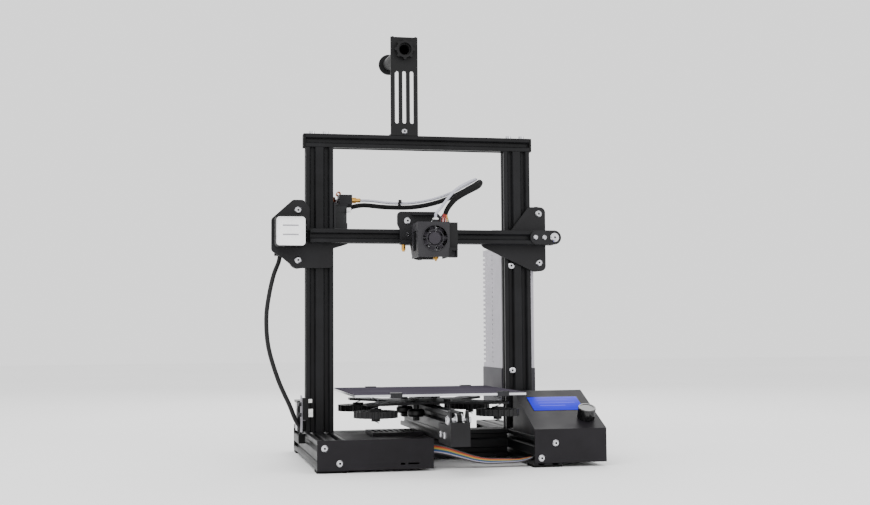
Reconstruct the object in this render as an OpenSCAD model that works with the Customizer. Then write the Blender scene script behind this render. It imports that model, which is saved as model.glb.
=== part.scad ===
// Open-frame FDM printer: extruded frame, moving bed, belt-driven head.
// Millimetres, +Z up, front of the machine toward -Y, feet on z = 0.
// Drawn in a frame whose y = 0 is the front end of the side rails and whose
// x = 0 is the middle of the bed, then moved so the box is centred on the origin.

/* [Output] */
centre_x = 6.5;
centre_y = 111.75;

/* [Frame] */
cell = 20;            // one profile cell
frame_w = 336;        // over the side rails
rail_len = 336;
foot_h = 3;
upright_len = 412;
upright_y = 146;      // front face of the uprights
cross_y = 137;
beam_front = -88;     // front end of the bed beam
beam_rear = 266;
sheet = 1.6;

/* [Bed] */
bed_size = 235;
bed_front = -2;
bed_t = 3;
bed_z = 99;           // underside of the aluminium plate
stud_pitch = 170;
knob_d = 60;

/* [Gantry] */
gantry_z = 324;       // centre line of the X beam
plate_y = 141.4;      // front face of the gantry plates
plate_t = 3;
x_beam_left = -164;
x_beam_right = 176;
extruder_z = 371.6;   // top face of the feed motor

/* [Running parts] */
wheel_r = 12;
wheel_w = 10.2;
pulley_r = 6.2;
flange_r = 8;
belt_w = 6;
belt_t = 1.4;
run = 0.05;           // radial running clearance

/* [Print head] */
fan_x = 3.3;
fan_z = 316.5;
hot_x = 8.5;          // nozzle, heat sink and feed tube
hot_y = 74;
nozzle_z = 285;
head_wheel_x = [-24, 16];
head_low_x = -4;
head_wheel_lift = 22.1;

/* [Display box] */
box_l = 128.6;
box_r = 231;
box_low = 6;
box_bend = 52;
panel_len = 122;
panel_tilt = 23;

/* [Hidden] */
rail_top = foot_h + 2*cell;
bar_z = rail_top + upright_len;
rail_x = frame_w/2 - cell;
beam_mid = rail_top + cell;
belt_z = beam_mid + 10.5;
bed_mid = bed_front + bed_size/2;
wheel_y = upright_y + cell/2;
x_beam_y = plate_y - cell/2;
head_y = x_beam_y - cell/2 - 1;
$fn = 48;

// routes of the free leads, from the still end to the moving end
HARNESS = [[-203, 178, 297.2], [-205, 177.4, 288], [-212, 175, 270], [-219, 171, 240],
  [-223, 168, 207], [-220, 166, 165], [-206, 165, 118], [-190, 163, 82], [-182, 162, 62],
  [-175, 162, 50], [-172.5, 161.8, 40.9]];
FEED_TUBE = [[-83.5, 185, 382], [-66, 180, 381], [-40, 168, 377], [-10, 153, 376], [20, 138, 381],
  [43, 127, 389], [60, 118, 398], [72, 108, 405], [73, 97, 406], [64, 87, 402], [50, 81, 395],
  [38, 78, 387], [26, 75, 374], [17, 74, 362], [9.4, 74, 353], [8.5, 74, 346.9]];
LOOM = [[-97, 181, 371.4], [-78, 180.6, 374.4], [-48, 171, 371], [-12, 155.4, 369.6],
  [18, 140, 374], [42, 128.6, 382], [60, 121, 390.6], [74, 113, 398.4], [80, 102, 401.8],
  [74, 90, 396], [62, 84, 390], [50, 81, 383], [39, 81, 375], [31, 81, 366], [26, 81, 358],
  [24, 81, 352]];
RIBBON = [[-15, 21, 27.6], [-6, 21, 27], [10, 21, 24], [30, 21, 18], [50, 21, 12], [68, 21, 9],
  [90, 21, 8.4], [110, 21, 8.4], [122, 21, 10], [131, 21, 12.5]];

// ---------- shared shapes ----------
module rrect(w, h, r) {
  square([w - 2*r, h], center = true);
  square([w, h - 2*r], center = true);
  for (i = [-1, 1], j = [-1, 1]) translate([i*(w/2 - r), j*(h/2 - r)]) circle(r, $fn = 32);
}

// T-slot seen from the face, opening toward +Y at y = 0
module slot() {
  polygon([[-4.7, 0.2], [-3.1, -1.8], [-5.6, -1.8], [-5.6, -3.4], [-2.8, -6.1],
           [2.8, -6.1], [5.6, -3.4], [5.6, -1.8], [3.1, -1.8], [4.7, 0.2]]);
}

module profile(nx, ny) {
  difference() {
    rrect(nx*cell, ny*cell, 1.2);
    for (i = [0 : nx - 1]) {
      x = (i - (nx - 1)/2)*cell;
      translate([x, ny*cell/2]) slot();
      translate([x, -ny*cell/2]) rotate(180) slot();
      for (j = [0 : ny - 1]) translate([x, (j - (ny - 1)/2)*cell]) circle(2.1, $fn = 24);
    }
    for (j = [0 : ny - 1]) {
      y = (j - (ny - 1)/2)*cell;
      translate([nx*cell/2, y]) rotate(-90) slot();
      translate([-nx*cell/2, y]) rotate(90) slot();
    }
  }
}

module beam_x(x0, x1, y, z, nx, ny) translate([x0, y, z]) rotate([90, 0, 90])
  linear_extrude(x1 - x0) profile(nx, ny);

// solid drawn in the x-z plane, its front face at y, t deep
module upright_plate(y, t) translate([0, y + t, 0]) rotate([90, 0, 0])
  linear_extrude(t) children();

// solid drawn in the y-z plane, from x for t
module side_plate(x, t) translate([x, 0, 0]) rotate([90, 0, 90]) linear_extrude(t) children();

module along_y(r, y0, y1) translate([0, y0, 0]) rotate([-90, 0, 0]) cylinder(r = r, h = y1 - y0);
module along_x(r, x0, x1) translate([x0, 0, 0]) rotate([0, 90, 0]) cylinder(r = r, h = x1 - x0);
module block(x0, x1, y0, y1, z0, z1) translate([x0, y0, z0]) cube([x1 - x0, y1 - y0, z1 - z0]);

// button-head screw standing on z = 0, shank going down
module button_screw(head = 4.8, h = 2.6, shank = 2.4, len = 5) {
  difference() {
    union() {
      cylinder(r = head, h = h*0.45);
      translate([0, 0, h*0.45]) cylinder(r1 = head, r2 = head*0.72, h = h*0.55);
    }
    translate([0, 0, h - 1.5]) cylinder(r = 1.7, h = 2, $fn = 6);
  }
  translate([0, 0, -len]) cylinder(r = shank, h = len);
}

module socket_screw(head = 4.4, h = 4.6, shank = 2.4, len = 5) {
  difference() {
    cylinder(r = head, h = h);
    translate([0, 0, h - 2.4]) cylinder(r = 2.1, h = 3, $fn = 6);
  }
  translate([0, 0, -len]) cylinder(r = shank, h = len);
}

module facing_front(x, y, z) translate([x, y, z]) rotate([90, 0, 0]) children();
module facing_left(x, y, z) translate([x, y, z]) rotate([0, -90, 0]) children();
module facing_right(x, y, z) translate([x, y, z]) rotate([0, 90, 0]) children();

// V-wheel turning about Z, centred on the origin
module v_wheel(bore) rotate_extrude($fn = 64) polygon([[bore, -wheel_w/2 + 0.6],
  [bore + 3, -wheel_w/2 + 0.6], [bore + 3, -wheel_w/2], [wheel_r - 2.4, -wheel_w/2],
  [wheel_r, -2.6], [wheel_r, 2.6], [wheel_r - 2.4, wheel_w/2], [bore + 3, wheel_w/2],
  [bore + 3, wheel_w/2 - 0.6], [bore, wheel_w/2 - 0.6]]);

// flanged timing pulley turning about Z, belt centred on the origin
module pulley(bore, hub = 0) {
  difference() {
    union() {
      for (s = [-1, 1]) translate([0, 0, s*(belt_w/2 + 0.9) - 0.6]) cylinder(r = flange_r, h = 1.2);
      for (a = [0 : 19]) rotate(a*18) translate([4.6, -0.55, -belt_w/2 - 0.4])
        cube([pulley_r - 4.6, 1.1, belt_w + 0.8]);
      cylinder(r = 5.4, h = belt_w + 0.8, center = true);
      if (hub > 0) translate([0, 0, belt_w/2 + 1.4]) cylinder(r = flange_r - 0.6, h = hub);
    }
    cylinder(r = bore, h = 60, center = true, $fn = 32);
  }
}

// closed belt round two equal pulleys; the run lies along +X for len
module belt_loop(len) linear_extrude(belt_w - 0.4, center = true) difference() {
  union() { for (x = [0, len]) translate([x, 0]) circle(pulley_r + 0.1 + belt_t);
    translate([0, -pulley_r - 0.1 - belt_t]) square([len, 2*(pulley_r + 0.1 + belt_t)]); }
  for (x = [0, len]) translate([x, 0]) circle(pulley_r + 0.1);
  translate([0, -pulley_r - 0.1]) square([len, 2*(pulley_r + 0.1)]);
}

// stepper motor, shaft up +Z, mounting face on z = 0
module stepper(len = 40, plug = 0) {
  difference() {
    union() {
      translate([0, 0, -9]) linear_extrude(9) rrect(42.3, 42.3, 4.2);
      translate([0, 0, 9 - len]) linear_extrude(len - 18) rrect(41, 41, 6);
      translate([0, 0, -len]) linear_extrude(9) rrect(42.3, 42.3, 4.2);
      cylinder(r = 11, h = 2);
    }
    for (i = [-1, 1], j = [-1, 1]) translate([i*15.5, j*15.5, -4]) cylinder(r = 1.5, h = 5, $fn = 20);
  }
  translate([0, 0, 2]) cylinder(r = 2.5, h = 20, $fn = 32);
  translate([plug - 8, -26, -len]) cube([16, 6, 9]);
}

// ---------- frame ----------
module base_rail(s) color("#1d1d1f") translate([s*rail_x, 0, foot_h + cell])
  rotate([-90, 0, 0]) linear_extrude(rail_len) profile(2, 2);
module base_rail_left() base_rail(-1);
module base_rail_right() base_rail(1);

module cross_beam() color("#1d1d1f")
  beam_x(-rail_x + cell, rail_x - cell, cross_y + cell, foot_h + cell, 2, 2);

module upright(s) color("#222224") translate([s*rail_x, wheel_y, rail_top])
  linear_extrude(upright_len) profile(2, 1);
module upright_left() upright(-1);
module upright_right() upright(1);

module top_bar() color("#222224")
  beam_x(-frame_w/2, frame_w/2, wheel_y, bar_z + cell/2, 1, 1);

module y_beam() color("#1d1d1f") translate([0, beam_front, beam_mid]) rotate([-90, 0, 0])
  linear_extrude(beam_rear - beam_front) difference() {
    profile(1, 2);
    square([8.4, 11.5], center = true);
  }

// folded U plate at the front end of the bed beam, with two raised ears
module y_idler_bracket() color("#2a272d") difference() {
  union() {
    for (s = [-1, 1]) side_plate(s > 0 ? 10.1 : -12.5, 2.4) offset(2.5) offset(-2.5)
      polygon([[-115, 41], [-38, 41], [-38, 66.5], [-89, 66.5], [-97, 85.5], [-107, 85.5],
               [-111, 71], [-115, 71]]);
    block(-12.5, 12.5, -115, -112.6, 41, 71);
  }
  translate([0, -102, belt_z]) along_x(2.6, -20, 20);
  for (y = [-80, -56], z = [53]) translate([0, y, z]) along_x(2.6, -20, 20);
}

// bed-drive motor behind the bed beam and lead-screw motor behind the left upright
module frame_motors() color("#202124") {
  translate([13.5, 280, belt_z]) rotate([0, -90, 0]) rotate([0, 0, 180]) stepper(38);
  translate([-156, 192, 84]) stepper(41);
  side_plate(10.1, 3.2) difference() {
    polygon([[244, 45.5], [302, 52], [302, 95], [256, 95], [244, 84.5]]);
    translate([280, belt_z]) circle(11.3);
  }
  difference() {
    block(-178.5, -134, 166.2, 214, 84.2, 87.4);
    translate([-156, 192, 80]) cylinder(r = 11.3, h = 10);
  }
  block(-178.5, -134, 166.2, 169.4, 43.2, 84.2);
}

// control-board tray between the left rail and the bed beam
module electronics_box() color("#29262a") difference() {
  union() {
    block(-frame_w/2, -11.5, -2, -0.1, foot_h + 0.5, rail_top + 0.3);
    difference() {
      block(-127.8, -11.5, -0.1, cross_y - 0.3, foot_h + 0.5, rail_top - 0.2);
      block(-126.2, -13.1, -3, cross_y - 1.9, foot_h + 2.1, rail_top - 1.8);
    }
    difference() {
      block(-84, -13.5, 62, 134, rail_top - 1, rail_top + 4);
      block(-82.5, -15, 63.5, 132.5, rail_top - 3, rail_top + 2.6);
    }
  }
  block(-82.5, -15, 63.5, 132.5, rail_top - 3, rail_top + 2.6);
  block(-56.5, -50.5, -5, 3, 9.2, 12);
  block(-46.5, -31.5, -5, 3, 9.6, 11.8);
  for (i = [0 : 7]) block(-78 + i*7.8, -74.5 + i*7.8, 75, 121, rail_top, rail_top + 9);
  for (p = [[-158, 33], [-138, 13]]) translate([p[0], 0, p[1]]) along_y(2.6, -5, 1);
  block(-14, -11, 14, 28, 19, 36);
}

module box_side(inset) {
  a = panel_tilt;
  polygon([[-2 + inset, box_low + inset], [-2 + inset, box_bend - inset*tan(45 - a/2)],
    [-2 + panel_len*cos(a) - inset, box_bend + (panel_len - 0)*sin(a) - inset*1.5],
    [-2 + panel_len*cos(a) - inset, box_low + inset]]);
}

// sheet box round the front of the right rail, with the tilted control panel
module display_box() color("#2b282e") difference() {
  side_plate(box_l, box_r - box_l) box_side(0);
  side_plate(box_l + sheet, box_r - box_l - 2*sheet) box_side(sheet);
  block(box_l - 1, frame_w/2 + 0.3, -0.1, 130, 0, rail_top + 0.3);
  on_panel(180.2, 78, -6) linear_extrude(12) rrect(77, 45.4, 1);
  on_panel(210.5, 30, -6) cylinder(r = 4, h = 12);
  for (p = [[158, 33], [138, 13]]) translate([p[0], 0, p[1]]) along_y(2.6, -5, 1);
  for (i = [0 : 5]) block(186 + i*6, 189 + i*6, 100, 120, 20, 44);
}

// panel frame: x across, y up the slope, z out of the panel
module on_panel(x, s, h = 0) translate([x, -2, box_bend]) rotate([panel_tilt, 0, 0])
  translate([0, s, h]) children();

module lcd_screen() color("#3a35f2") on_panel(180.2, 78, -3.2) {
  linear_extrude(3.4) rrect(76.8, 45.2, 1);
  translate([0, 0, -5]) linear_extrude(5) rrect(90, 52, 1);
}

module encoder_knob() color("#141416") on_panel(210.5, 30, 0.6) difference() {
  union() {
    cylinder(r = 11.6, h = 15);
    translate([0, 0, 15]) cylinder(r1 = 12.6, r2 = 12, h = 1.6);
    for (a = [0 : 29]) rotate(a*12) translate([11.2, -0.5, 0.8]) cube([1, 1, 13]);
    translate([0, 0, -7]) cylinder(r = 3.9, h = 8);
  }
  translate([0, 0, 16]) cylinder(r = 9.5, h = 2);
}

// mains supply standing behind the right upright, broad side across the machine
module power_supply() color("#b4b1b6") difference() {
  block(127.6, 177.6, 166.1, 281, 131, 314);
  block(128.6, 176.6, 167.1, 280, 120, 313);
  for (k = [0 : 23]) {
    translate([0, 222, 140 + k*7.1]) along_x(1.6, 120, 135);
    block(120, 132, 268, 290, 138 + k*7.1, 141.4 + k*7.1);
  }
  for (k = [0 : 8], j = [0 : 5]) translate([0, 180 + j*9, 200 + k*9]) along_x(2.6, 170, 185);
  for (z = [128, 283.5]) translate([138, 0, z]) along_y(2.2, 160, 170);
}

// plastic end cover with the mains inlet and the rocker opening
module psu_end_cover() color("#4c4a50") {
  inlet_socket();
  cover_shell();
}

module cover_shell() difference() {
  union() {
    block(126.6, 178.6, 166.1, 282, 78, 130.9);
    block(129, 176.2, 168, 279, 130, 139);
  }
  block(128.6, 176.6, 168.1, 280, 80, 141);
  block(140.4, 165.6, 275, 290, 85.8, 98.2);
  block(136, 170, 275, 290, 103, 126);
}

// inlet socket set in the cover, with its three flat pins
module inlet_socket() {
  difference() {
    block(135, 171, 262, 281, 102, 127);
    block(139, 167, 266, 290, 106, 123);
  }
  for (p = [[147, 112], [159, 112], [153, 117]])
    block(p[0] - 1, p[0] + 1, 265, 279, p[1] - 2, p[1] + 2);
}

module power_switch() color("#b3201c") translate([153, 282, 92]) {
  rotate([8, 0, 0]) block(-12, 12, -1.4, 1.8, -5.6, 5.6);
  block(-10.5, 10.5, -6, -0.9, -1.6, 1.6);
  along_x(1, -12.4, 12.4);
}

// upright spool plate with three slots, its arm, end flange and retaining nut
module spool_holder() color("#1b1a1c") {
  difference() {
    upright_plate(upright_y, 3) translate([-22.5, 0]) difference() {
      union() {
        translate([0, bar_z + cell + 74]) square([40.6, 146], center = true);
        for (s = [-1, 1]) translate([s*17.3, bar_z + cell + 145]) circle(3);
      }
      for (i = [-1, 0, 1]) translate([i*11.2, 532]) { square([5.6, 73], center = true);
        for (s = [-1, 1]) translate([0, s*36.5]) circle(2.8, $fn = 32); }
      translate([0, 603]) circle(10.1);
      translate([0, 481.2]) circle(2.5);
    }
  }
  block(-42.8, -2.2, upright_y, upright_y + 20, bar_z + cell, bar_z + cell + 3);
  translate([-22.5, upright_y, 603]) rotate([3, 0, 0]) {
    difference() {
      union() { along_y(9.6, -2, 4); along_y(9.9, 4.5, 140); along_y(16, 138, 141.5);
        along_y(15, 3.1, 5); }
      along_y(7.4, -5, 136);
    }
    difference() {
      union() { along_y(12.6, -8, -0.4);
        for (a = [0 : 45 : 359]) rotate([0, a, 0]) translate([13.2, 0, 0]) along_y(2.2, -8, -0.4); }
      along_y(9.6, -10, 0);
    }
  }
}

// plate, switch block and connector on the left face of the left upright
module z_limit_switch() color("#8f8d92") {
  side_plate(-175, 1.6) polygon([[140, 44], [158, 44], [158, 96], [146, 96], [140, 84]]);
  block(-173.4, -168.1, 148, 158, 60, 66);
  block(-173.4, -168.1, 148, 158, 84, 90);
  block(-173.4, -165.5, 136, 145.8, 62, 93);
  block(-165.5, -160, 138, 145.6, 86, 91);
  block(-165.5, -159, 137, 145.6, 66, 77);
  for (z = [69, 84]) translate([0, 141, z]) along_x(3, -179, -175);
}

module feet_and_caps() color("#151516") {
  for (s = [-1, 1], y = [2, rail_len - 34]) difference() {
    block(s*rail_x - 20, s*rail_x + 20, y, y + 32, 0, foot_h);
    translate([s*rail_x, y + 16, -1]) cylinder(r = 4, h = 2.4);
  }
  for (s = [-1, 1]) {
    side_plate(s > 0 ? frame_w/2 : -frame_w/2 - 3, 3) translate([wheel_y, bar_z + 10]) rrect(20, 20, 2);
    translate([s*rail_x, rail_len + 2.5, foot_h + cell]) rotate([90, 0, 0])
      linear_extrude(2.5) rrect(40, 40, 2);
  }
  block(-177, -168, 157, 166, 27, 40);
}

module frame_bolts() color("#c9c9cc") {
  for (p = [[-158, 33], [-138, 13], [158, 33], [138, 13]]) facing_front(p[0], -2, p[1])
    button_screw(4.6, 2.6, 2, 9);
  for (x = [-158, -138, 138, 158]) translate([x, wheel_y, bar_z + cell])
    socket_screw(4.3, 4.2, 2.4, 4);
  for (z = [128, 283.5]) facing_front(138, upright_y - 0.1, z) button_screw(4.6, 1.1, 2.2, 5);
  facing_front(-22.5, upright_y, 481.2) button_screw(4.2, 2.4, 2.2, 2.5);
  facing_left(-12.5, -102, belt_z) button_screw(6, 3.4, 2.5, 25);
  facing_right(12.5, -102, belt_z) cylinder(r = 4, h = 3.6, $fn = 6);
  for (y = [-80, -56]) { facing_left(-12.5, y, 53) button_screw(4.6, 2.6, 2.4, 7);
    facing_right(12.5, y, 53) button_screw(4.6, 2.6, 2.4, 7); }
}

module y_belt() color("#161616") translate([0, -102, belt_z]) rotate([90, 0, 90]) belt_loop(382);

// smooth curve through a route, n steps between its points
function bend(p, i, t) = let (a = p[max(i - 1, 0)], b = p[i], c = p[i + 1],
  d = p[min(i + 2, len(p) - 1)]) 0.5*(2*b + (c - a)*t + (2*a - 5*b + 4*c - d)*t*t
  + (3*b - 3*c + d - a)*t*t*t);
function smooth(p, n) = concat([for (i = [0 : len(p) - 2], k = [0 : n - 1]) bend(p, i, k/n)],
  [p[len(p) - 1]]);
function unit(v) = v/norm(v);
function heading(q, i) = unit(q[min(i + 1, len(q) - 1)] - q[max(i - 1, 0)]);

// one swept tube: half-width w across the reference direction, half-thickness h, turned by
// twist degrees in all
module tube(q, w, h, sides, ref, turn = 0, twist = 0) {
  last = len(q) - 1;
  pts = [for (i = [0 : last]) let (t = heading(q, i), s = unit(cross(t, ref)), u = cross(t, s),
      a = turn + twist*i/last, s2 = s*cos(a) + u*sin(a), u2 = u*cos(a) - s*sin(a))
    for (j = [0 : sides - 1]) q[i] + s2*w*cos(j*360/sides) + u2*h*sin(j*360/sides)];
  polyhedron(pts, concat([[for (j = [0 : sides - 1]) j]],
    [[for (j = [sides - 1 : -1 : 0]) last*sides + j]],
    [for (i = [0 : last - 1], j = [0 : sides - 1]) let (k = (j + 1) % sides)
      [i*sides + j, (i + 1)*sides + j, (i + 1)*sides + k]],
    [for (i = [0 : last - 1], j = [0 : sides - 1]) let (k = (j + 1) % sides)
      [i*sides + j, (i + 1)*sides + k, i*sides + k]]));
}

// flat ribbon of wires from the control board to the panel, under the bed beam
module ribbon_cable() color("#8a4a30")
  tube(smooth(RIBBON, 2), 7.2, 0.8, 8, [0, 0, 1], 62, -62);

module base_harness() color("#161616") tube(smooth(HARNESS, 2), 3.3, 3.3, 10, [0, 1, 0]);

// ---------- gantry ----------
module x_beam() color("#222224")
  beam_x(x_beam_left, x_beam_right, x_beam_y, gantry_z, 1, 1);

module gantry_plate_left() color("#2c2b2d") difference() {
  upright_plate(plate_y, plate_t) offset(6, $fn = 40) offset(-6) polygon([[-187, 377], [-172, 377],
    [-163, 366], [-163, 336], [-106, 336], [-106, 314], [-129, 307], [-129, 279], [-184, 278],
    [-202, 293], [-218, 303], [-218, 349]]);
  for (p = [[-179.5, gantry_z + 38], [-179.5, gantry_z - 34], [-117, gantry_z]])
    translate([p[0], 0, p[1]]) along_y(2.6, 130, 150);
  translate([-191, 0, gantry_z]) along_y(11.2, 130, 150);
}

module gantry_plate_right() color("#333036") difference() {
  upright_plate(plate_y, plate_t) offset(8, $fn = 40) offset(-8) polygon([[164, 371], [190, 371],
    [190, 276], [172, 274], [86, 314], [106, 336], [137, 336]]);
  for (p = [[179.5, gantry_z + 37], [179.5, gantry_z - 36], [117, gantry_z]])
    translate([p[0], 0, p[1]]) along_y(2.6, 130, 150);
}

// beam-drive motor behind the left plate and feed motor under the extruder
module gantry_motors() color("#202124") {
  translate([-191, plate_y + plate_t + 0.1, gantry_z]) rotate([90, 0, 0]) difference() {
    stepper(38, -12);
    translate([0, 0, 18]) cylinder(r = 4, h = 30);
  }
  translate([-125, 191, extruder_z]) rotate([0, 0, 180]) stepper(34);
}

module x_motor_cover() color("#161517") difference() {
  translate([0, plate_y, 0]) rotate([90, 0, 0]) translate([-192, 330, 0])
    linear_extrude(34) rrect(44, 44, 5);
  translate([0, plate_y + 1, 0]) rotate([90, 0, 0]) translate([-192, 330, 0])
    linear_extrude(33) rrect(40.8, 40.8, 3.6);
  block(-175, -160, 100, 150, 314, 343);
}

// rounded plate that holds the idler past the right end of the beam
module belt_tensioner() color("#1a191b") difference() {
  union() {
    upright_plate(x_beam_y - cell/2 - 2.6, 2.4) { translate([184, gantry_z]) square([26, 21], center = true);
      translate([171, gantry_z]) circle(10.5); translate([197, gantry_z]) circle(10.5); }
    upright_plate(x_beam_y + cell/2 - 2.5, 2.4) {
      translate([187.5, gantry_z]) square([19, 21], center = true);
      translate([197, gantry_z]) circle(10.5);
    }
    block(177, 180, x_beam_y - 10.3, x_beam_y + 10, gantry_z - 10, gantry_z - 8.6);
    block(177, 180, x_beam_y - 10.3, x_beam_y + 10, gantry_z + 8.6, gantry_z + 10);
  }
  for (x = [168.5, 182, 197]) translate([x, 0, gantry_z]) along_y(2.6, 100, 145);
}

module x_belt() color("#161616") translate([-191, x_beam_y, gantry_z]) rotate([90, 0, 0]) belt_loop(388);

// feed block with its drive housing, on a bracket behind the left upright
module extruder_body() color("#2a282b") translate([0, 0, extruder_z]) {
  difference() {
    block(-147, -103.6, 169.4, 213, 0.1, 3);
    translate([-125, 191, -10]) cylinder(r = 11.3, h = 20);
  }
  difference() {
    union() { block(-116, -97, 172, 198, 3, 17.4); block(-103.7, -97, 176, 186, -4.6, 3.1); }
    translate([0, 185, 10.4]) along_x(3.1, -120, -90);
  }
  translate([-137, 207, 2]) cylinder(r = 2.05, h = 14, $fn = 32);
  difference() {
    block(-164, -146.9, 170, 213, -4, 3);
    translate([-156, 192, -20]) cylinder(r = 4.6, h = 30);
  }
  side_plate(-127.5, 3) polygon([[144.5, 318 - extruder_z], [150.5, 318 - extruder_z],
    [150.5, 338 - extruder_z], [169.4, 338 - extruder_z], [169.4, 0.1], [175, 0.1], [175, 3],
    [144.5, 3]]);
  feed_fitting();
}

// push fitting that grips the feed tube
module feed_fitting() translate([0, 185, 10.4]) difference() {
  union() { along_x(4.4, -97.1, -90); along_x(3.3, -90.1, -83.5); }
  along_x(1.2, -110, -80);
}

module extruder_lever() color("#b6b4b8") difference() {
  union() {
    block(-143, -131, 203, 211.5, extruder_z + 4, extruder_z + 14);
    block(-131.1, -105, 206.5, 211.5, extruder_z + 4, extruder_z + 14);
    block(-110, -105, 199, 206.6, extruder_z + 4, extruder_z + 14);
  }
  translate([-137, 207, extruder_z]) cylinder(r = 2.1, h = 20, $fn = 32);
}

module extruder_gear() color("#b98a4c") translate([-125, 191, extruder_z + 4.2]) difference() {
  union() {
    linear_extrude(8) {
      circle(4.6);
      for (a = [0 : 19]) rotate(a*18) translate([4, -0.5]) square([1.9, 1]);
    }
    translate([0, 0, 7.9]) cylinder(r = 5.3, h = 3);
  }
  translate([0, 0, -1]) cylinder(r = 2.55, h = 20, $fn = 32);
}

module wheel_axles(list) for (p = list) translate([p[0], wheel_y, p[1]]) {
  rotate([90, 0, 0]) v_wheel(2.6);
  difference() { along_y(4, -11.5, -wheel_w/2 - 0.1); along_y(2.6, -20, 20); }
}

module gantry_wheels() color("#141415")
  wheel_axles([[-179.5, gantry_z + 38], [-179.5, gantry_z - 34], [-117, gantry_z],
               [179.5, gantry_z + 37], [179.5, gantry_z - 36], [117, gantry_z]]);

module gantry_bolts() color("#cfcfd2") {
  for (p = [[-179.5, gantry_z + 38], [-179.5, gantry_z - 34], [179.5, gantry_z + 37],
            [179.5, gantry_z - 36]])
    facing_front(p[0], plate_y, p[1]) button_screw(5, 2.8, 2.5, 24);
  for (p = [[-117, gantry_z], [117, gantry_z]]) {
    facing_front(p[0], plate_y + plate_t - 1, p[1]) cylinder(r = 2.5, h = 0.9);
    translate([p[0], 0, p[1]]) along_y(2.5, plate_y + 1.8, plate_y + 24);
  }
  for (x = [168.5, 182]) facing_front(x, x_beam_y - cell/2 - 2.6, gantry_z)
    button_screw(3.6, 2.2, 2.3, 5);
  facing_front(197, x_beam_y - cell/2 - 2.6, gantry_z) button_screw(6.6, 3.4, 2.5, 26);
}

// white feed tube from the extruder to the hot end, and the sleeved wires under it
module bowden_tube() color("#e8e8ea") tube(smooth(FEED_TUBE, 2), 2, 2, 8, [0, 1, -1]);
module sleeved_loom() color("#141414") tube(smooth(LOOM, 1), 3.4, 3.4, 10, [0, 1, -1]);

// ---------- print head ----------
module carriage_plate() color("#39363c") difference() {
  union() {
    upright_plate(head_y - 3, 3) offset(6, $fn = 40) offset(-6) polygon([[-39, 359.5],
      [19, 359.5], [28, 350], [28, 300], [16, 290], [-16, 290], [-20, 310.5], [-35.5, 310.5],
      [-35.5, 334], [-39, 341]]);
    block(-36, -21.2, head_y - 12, head_y - 2.9, 311, 317);
    block(-18, 14, head_y - 10, head_y - 2.9, 354, 356.4);
  }
  for (x = head_wheel_x) translate([x, 0, gantry_z + head_wheel_lift]) along_y(2.6, 90, 140);
  translate([head_low_x, 0, gantry_z - head_wheel_lift]) along_y(2.6, 90, 140);
}

// folded shroud: fan window in front, open behind and below, blower on its right side
module fan_shroud() color("#353436") {
  difference() {
    union() {
      block(-21, 24, 52, 101, 290, 339.3);
      block(-14, 20, 100, head_y - 3.1, 337.9, 339.3);
    }
    block(-19.6, 22.6, 53.4, 110, 286, 337.9);
    translate([fan_x, 0, fan_z]) along_y(18, 40, 60);
    block(-30, -15, 66, 92, 300, 328);
    translate([hot_x, hot_y, 330]) cylinder(r = 3.6, h = 20);
    block(14, 30, 98, 110, 280, 345);
  }
  upright_plate(51.2, 0.9) translate([fan_x, fan_z]) {
    difference() { circle(12.4); circle(11.2); }
    difference() { circle(18.6); circle(17.6); }
    for (a = [0 : 90 : 359]) rotate(a) translate([11.6, -0.6]) square([6.4, 1.2]);
  }
  upright_plate(62.1, 0.7) translate([fan_x, fan_z]) {
    circle(8);
    translate([-23.1, -1]) square([42.6, 2]);
    translate([-1, 0]) square([2, 21.6]);
  }
  translate([fan_x, 0, fan_z]) along_y(2, 56.3, 62.3);
  difference() {
    union() {
      block(23.9, 36.5, 56, 92, 300, 339);
      translate([24, 74, 318]) along_x(17, 0, 13.2);
      block(23.9, 35, 50, 60, 290, 303);
    }
    translate([0, 74, 318]) along_x(9, 34.5, 40);
    block(26, 33, 48, 62, 286, 299);
  }
}

module hot_end() color("#c39a4a") {
  translate([hot_x, hot_y, nozzle_z]) {
    cylinder(r1 = 0.7, r2 = 3.2, h = 4);
    translate([0, 0, 4]) cylinder(r = 4, h = 3, $fn = 6);
    translate([0, 0, 7]) cylinder(r = 3, h = 2);
    translate([-8, -6, 7.5]) cube([18, 14, 10]);
    translate([0, 0, 17.5]) cylinder(r = 2, h = 4);
    for (i = [0 : 8]) translate([0, 0, 20.5 + i*3.2]) cylinder(r = 11, h = 1.5);
    translate([0, 0, 20]) cylinder(r = 5.5, h = 30);
    translate([0, 0, 49]) cylinder(r = 8, h = 3.6);
    translate([0, 0, 52]) cylinder(r = 3, h = 4);
    translate([0, 0, 54.6]) cylinder(r = 5, h = 4.4, $fn = 6);
    translate([0, 0, 59]) cylinder(r = 3.6, h = 2.6);
  }
  translate([-31, head_y - 7.5, 0]) { translate([0, 0, 301]) cylinder(r1 = 1.6, r2 = 3, h = 3);
    translate([0, 0, 304]) cylinder(r = 3, h = 6.9); }
  block(4, 12, 80, head_y - 3.1, 309, 315);
}

module carriage_bolts() color("#cfcfd2") {
  for (x = head_wheel_x) facing_front(x, head_y - 3, gantry_z + head_wheel_lift)
    button_screw(5, 2.8, 2.5, 23);
  facing_front(head_low_x, head_y - 3, gantry_z - head_wheel_lift) button_screw(4.6, 1.8, 2.5, 23);
  facing_front(-24, head_y - 3.05, 326) cylinder(r = 2.4, h = 2);
  for (p = [[head_wheel_x[0], head_wheel_lift], [head_wheel_x[1], head_wheel_lift],
            [head_low_x, -head_wheel_lift]])
    translate([p[0], 0, gantry_z + p[1]]) difference() {
      along_y(4, head_y + 0.1, x_beam_y - wheel_w/2 - 0.2);
      along_y(2.55, 100, 140);
    }
}

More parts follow.
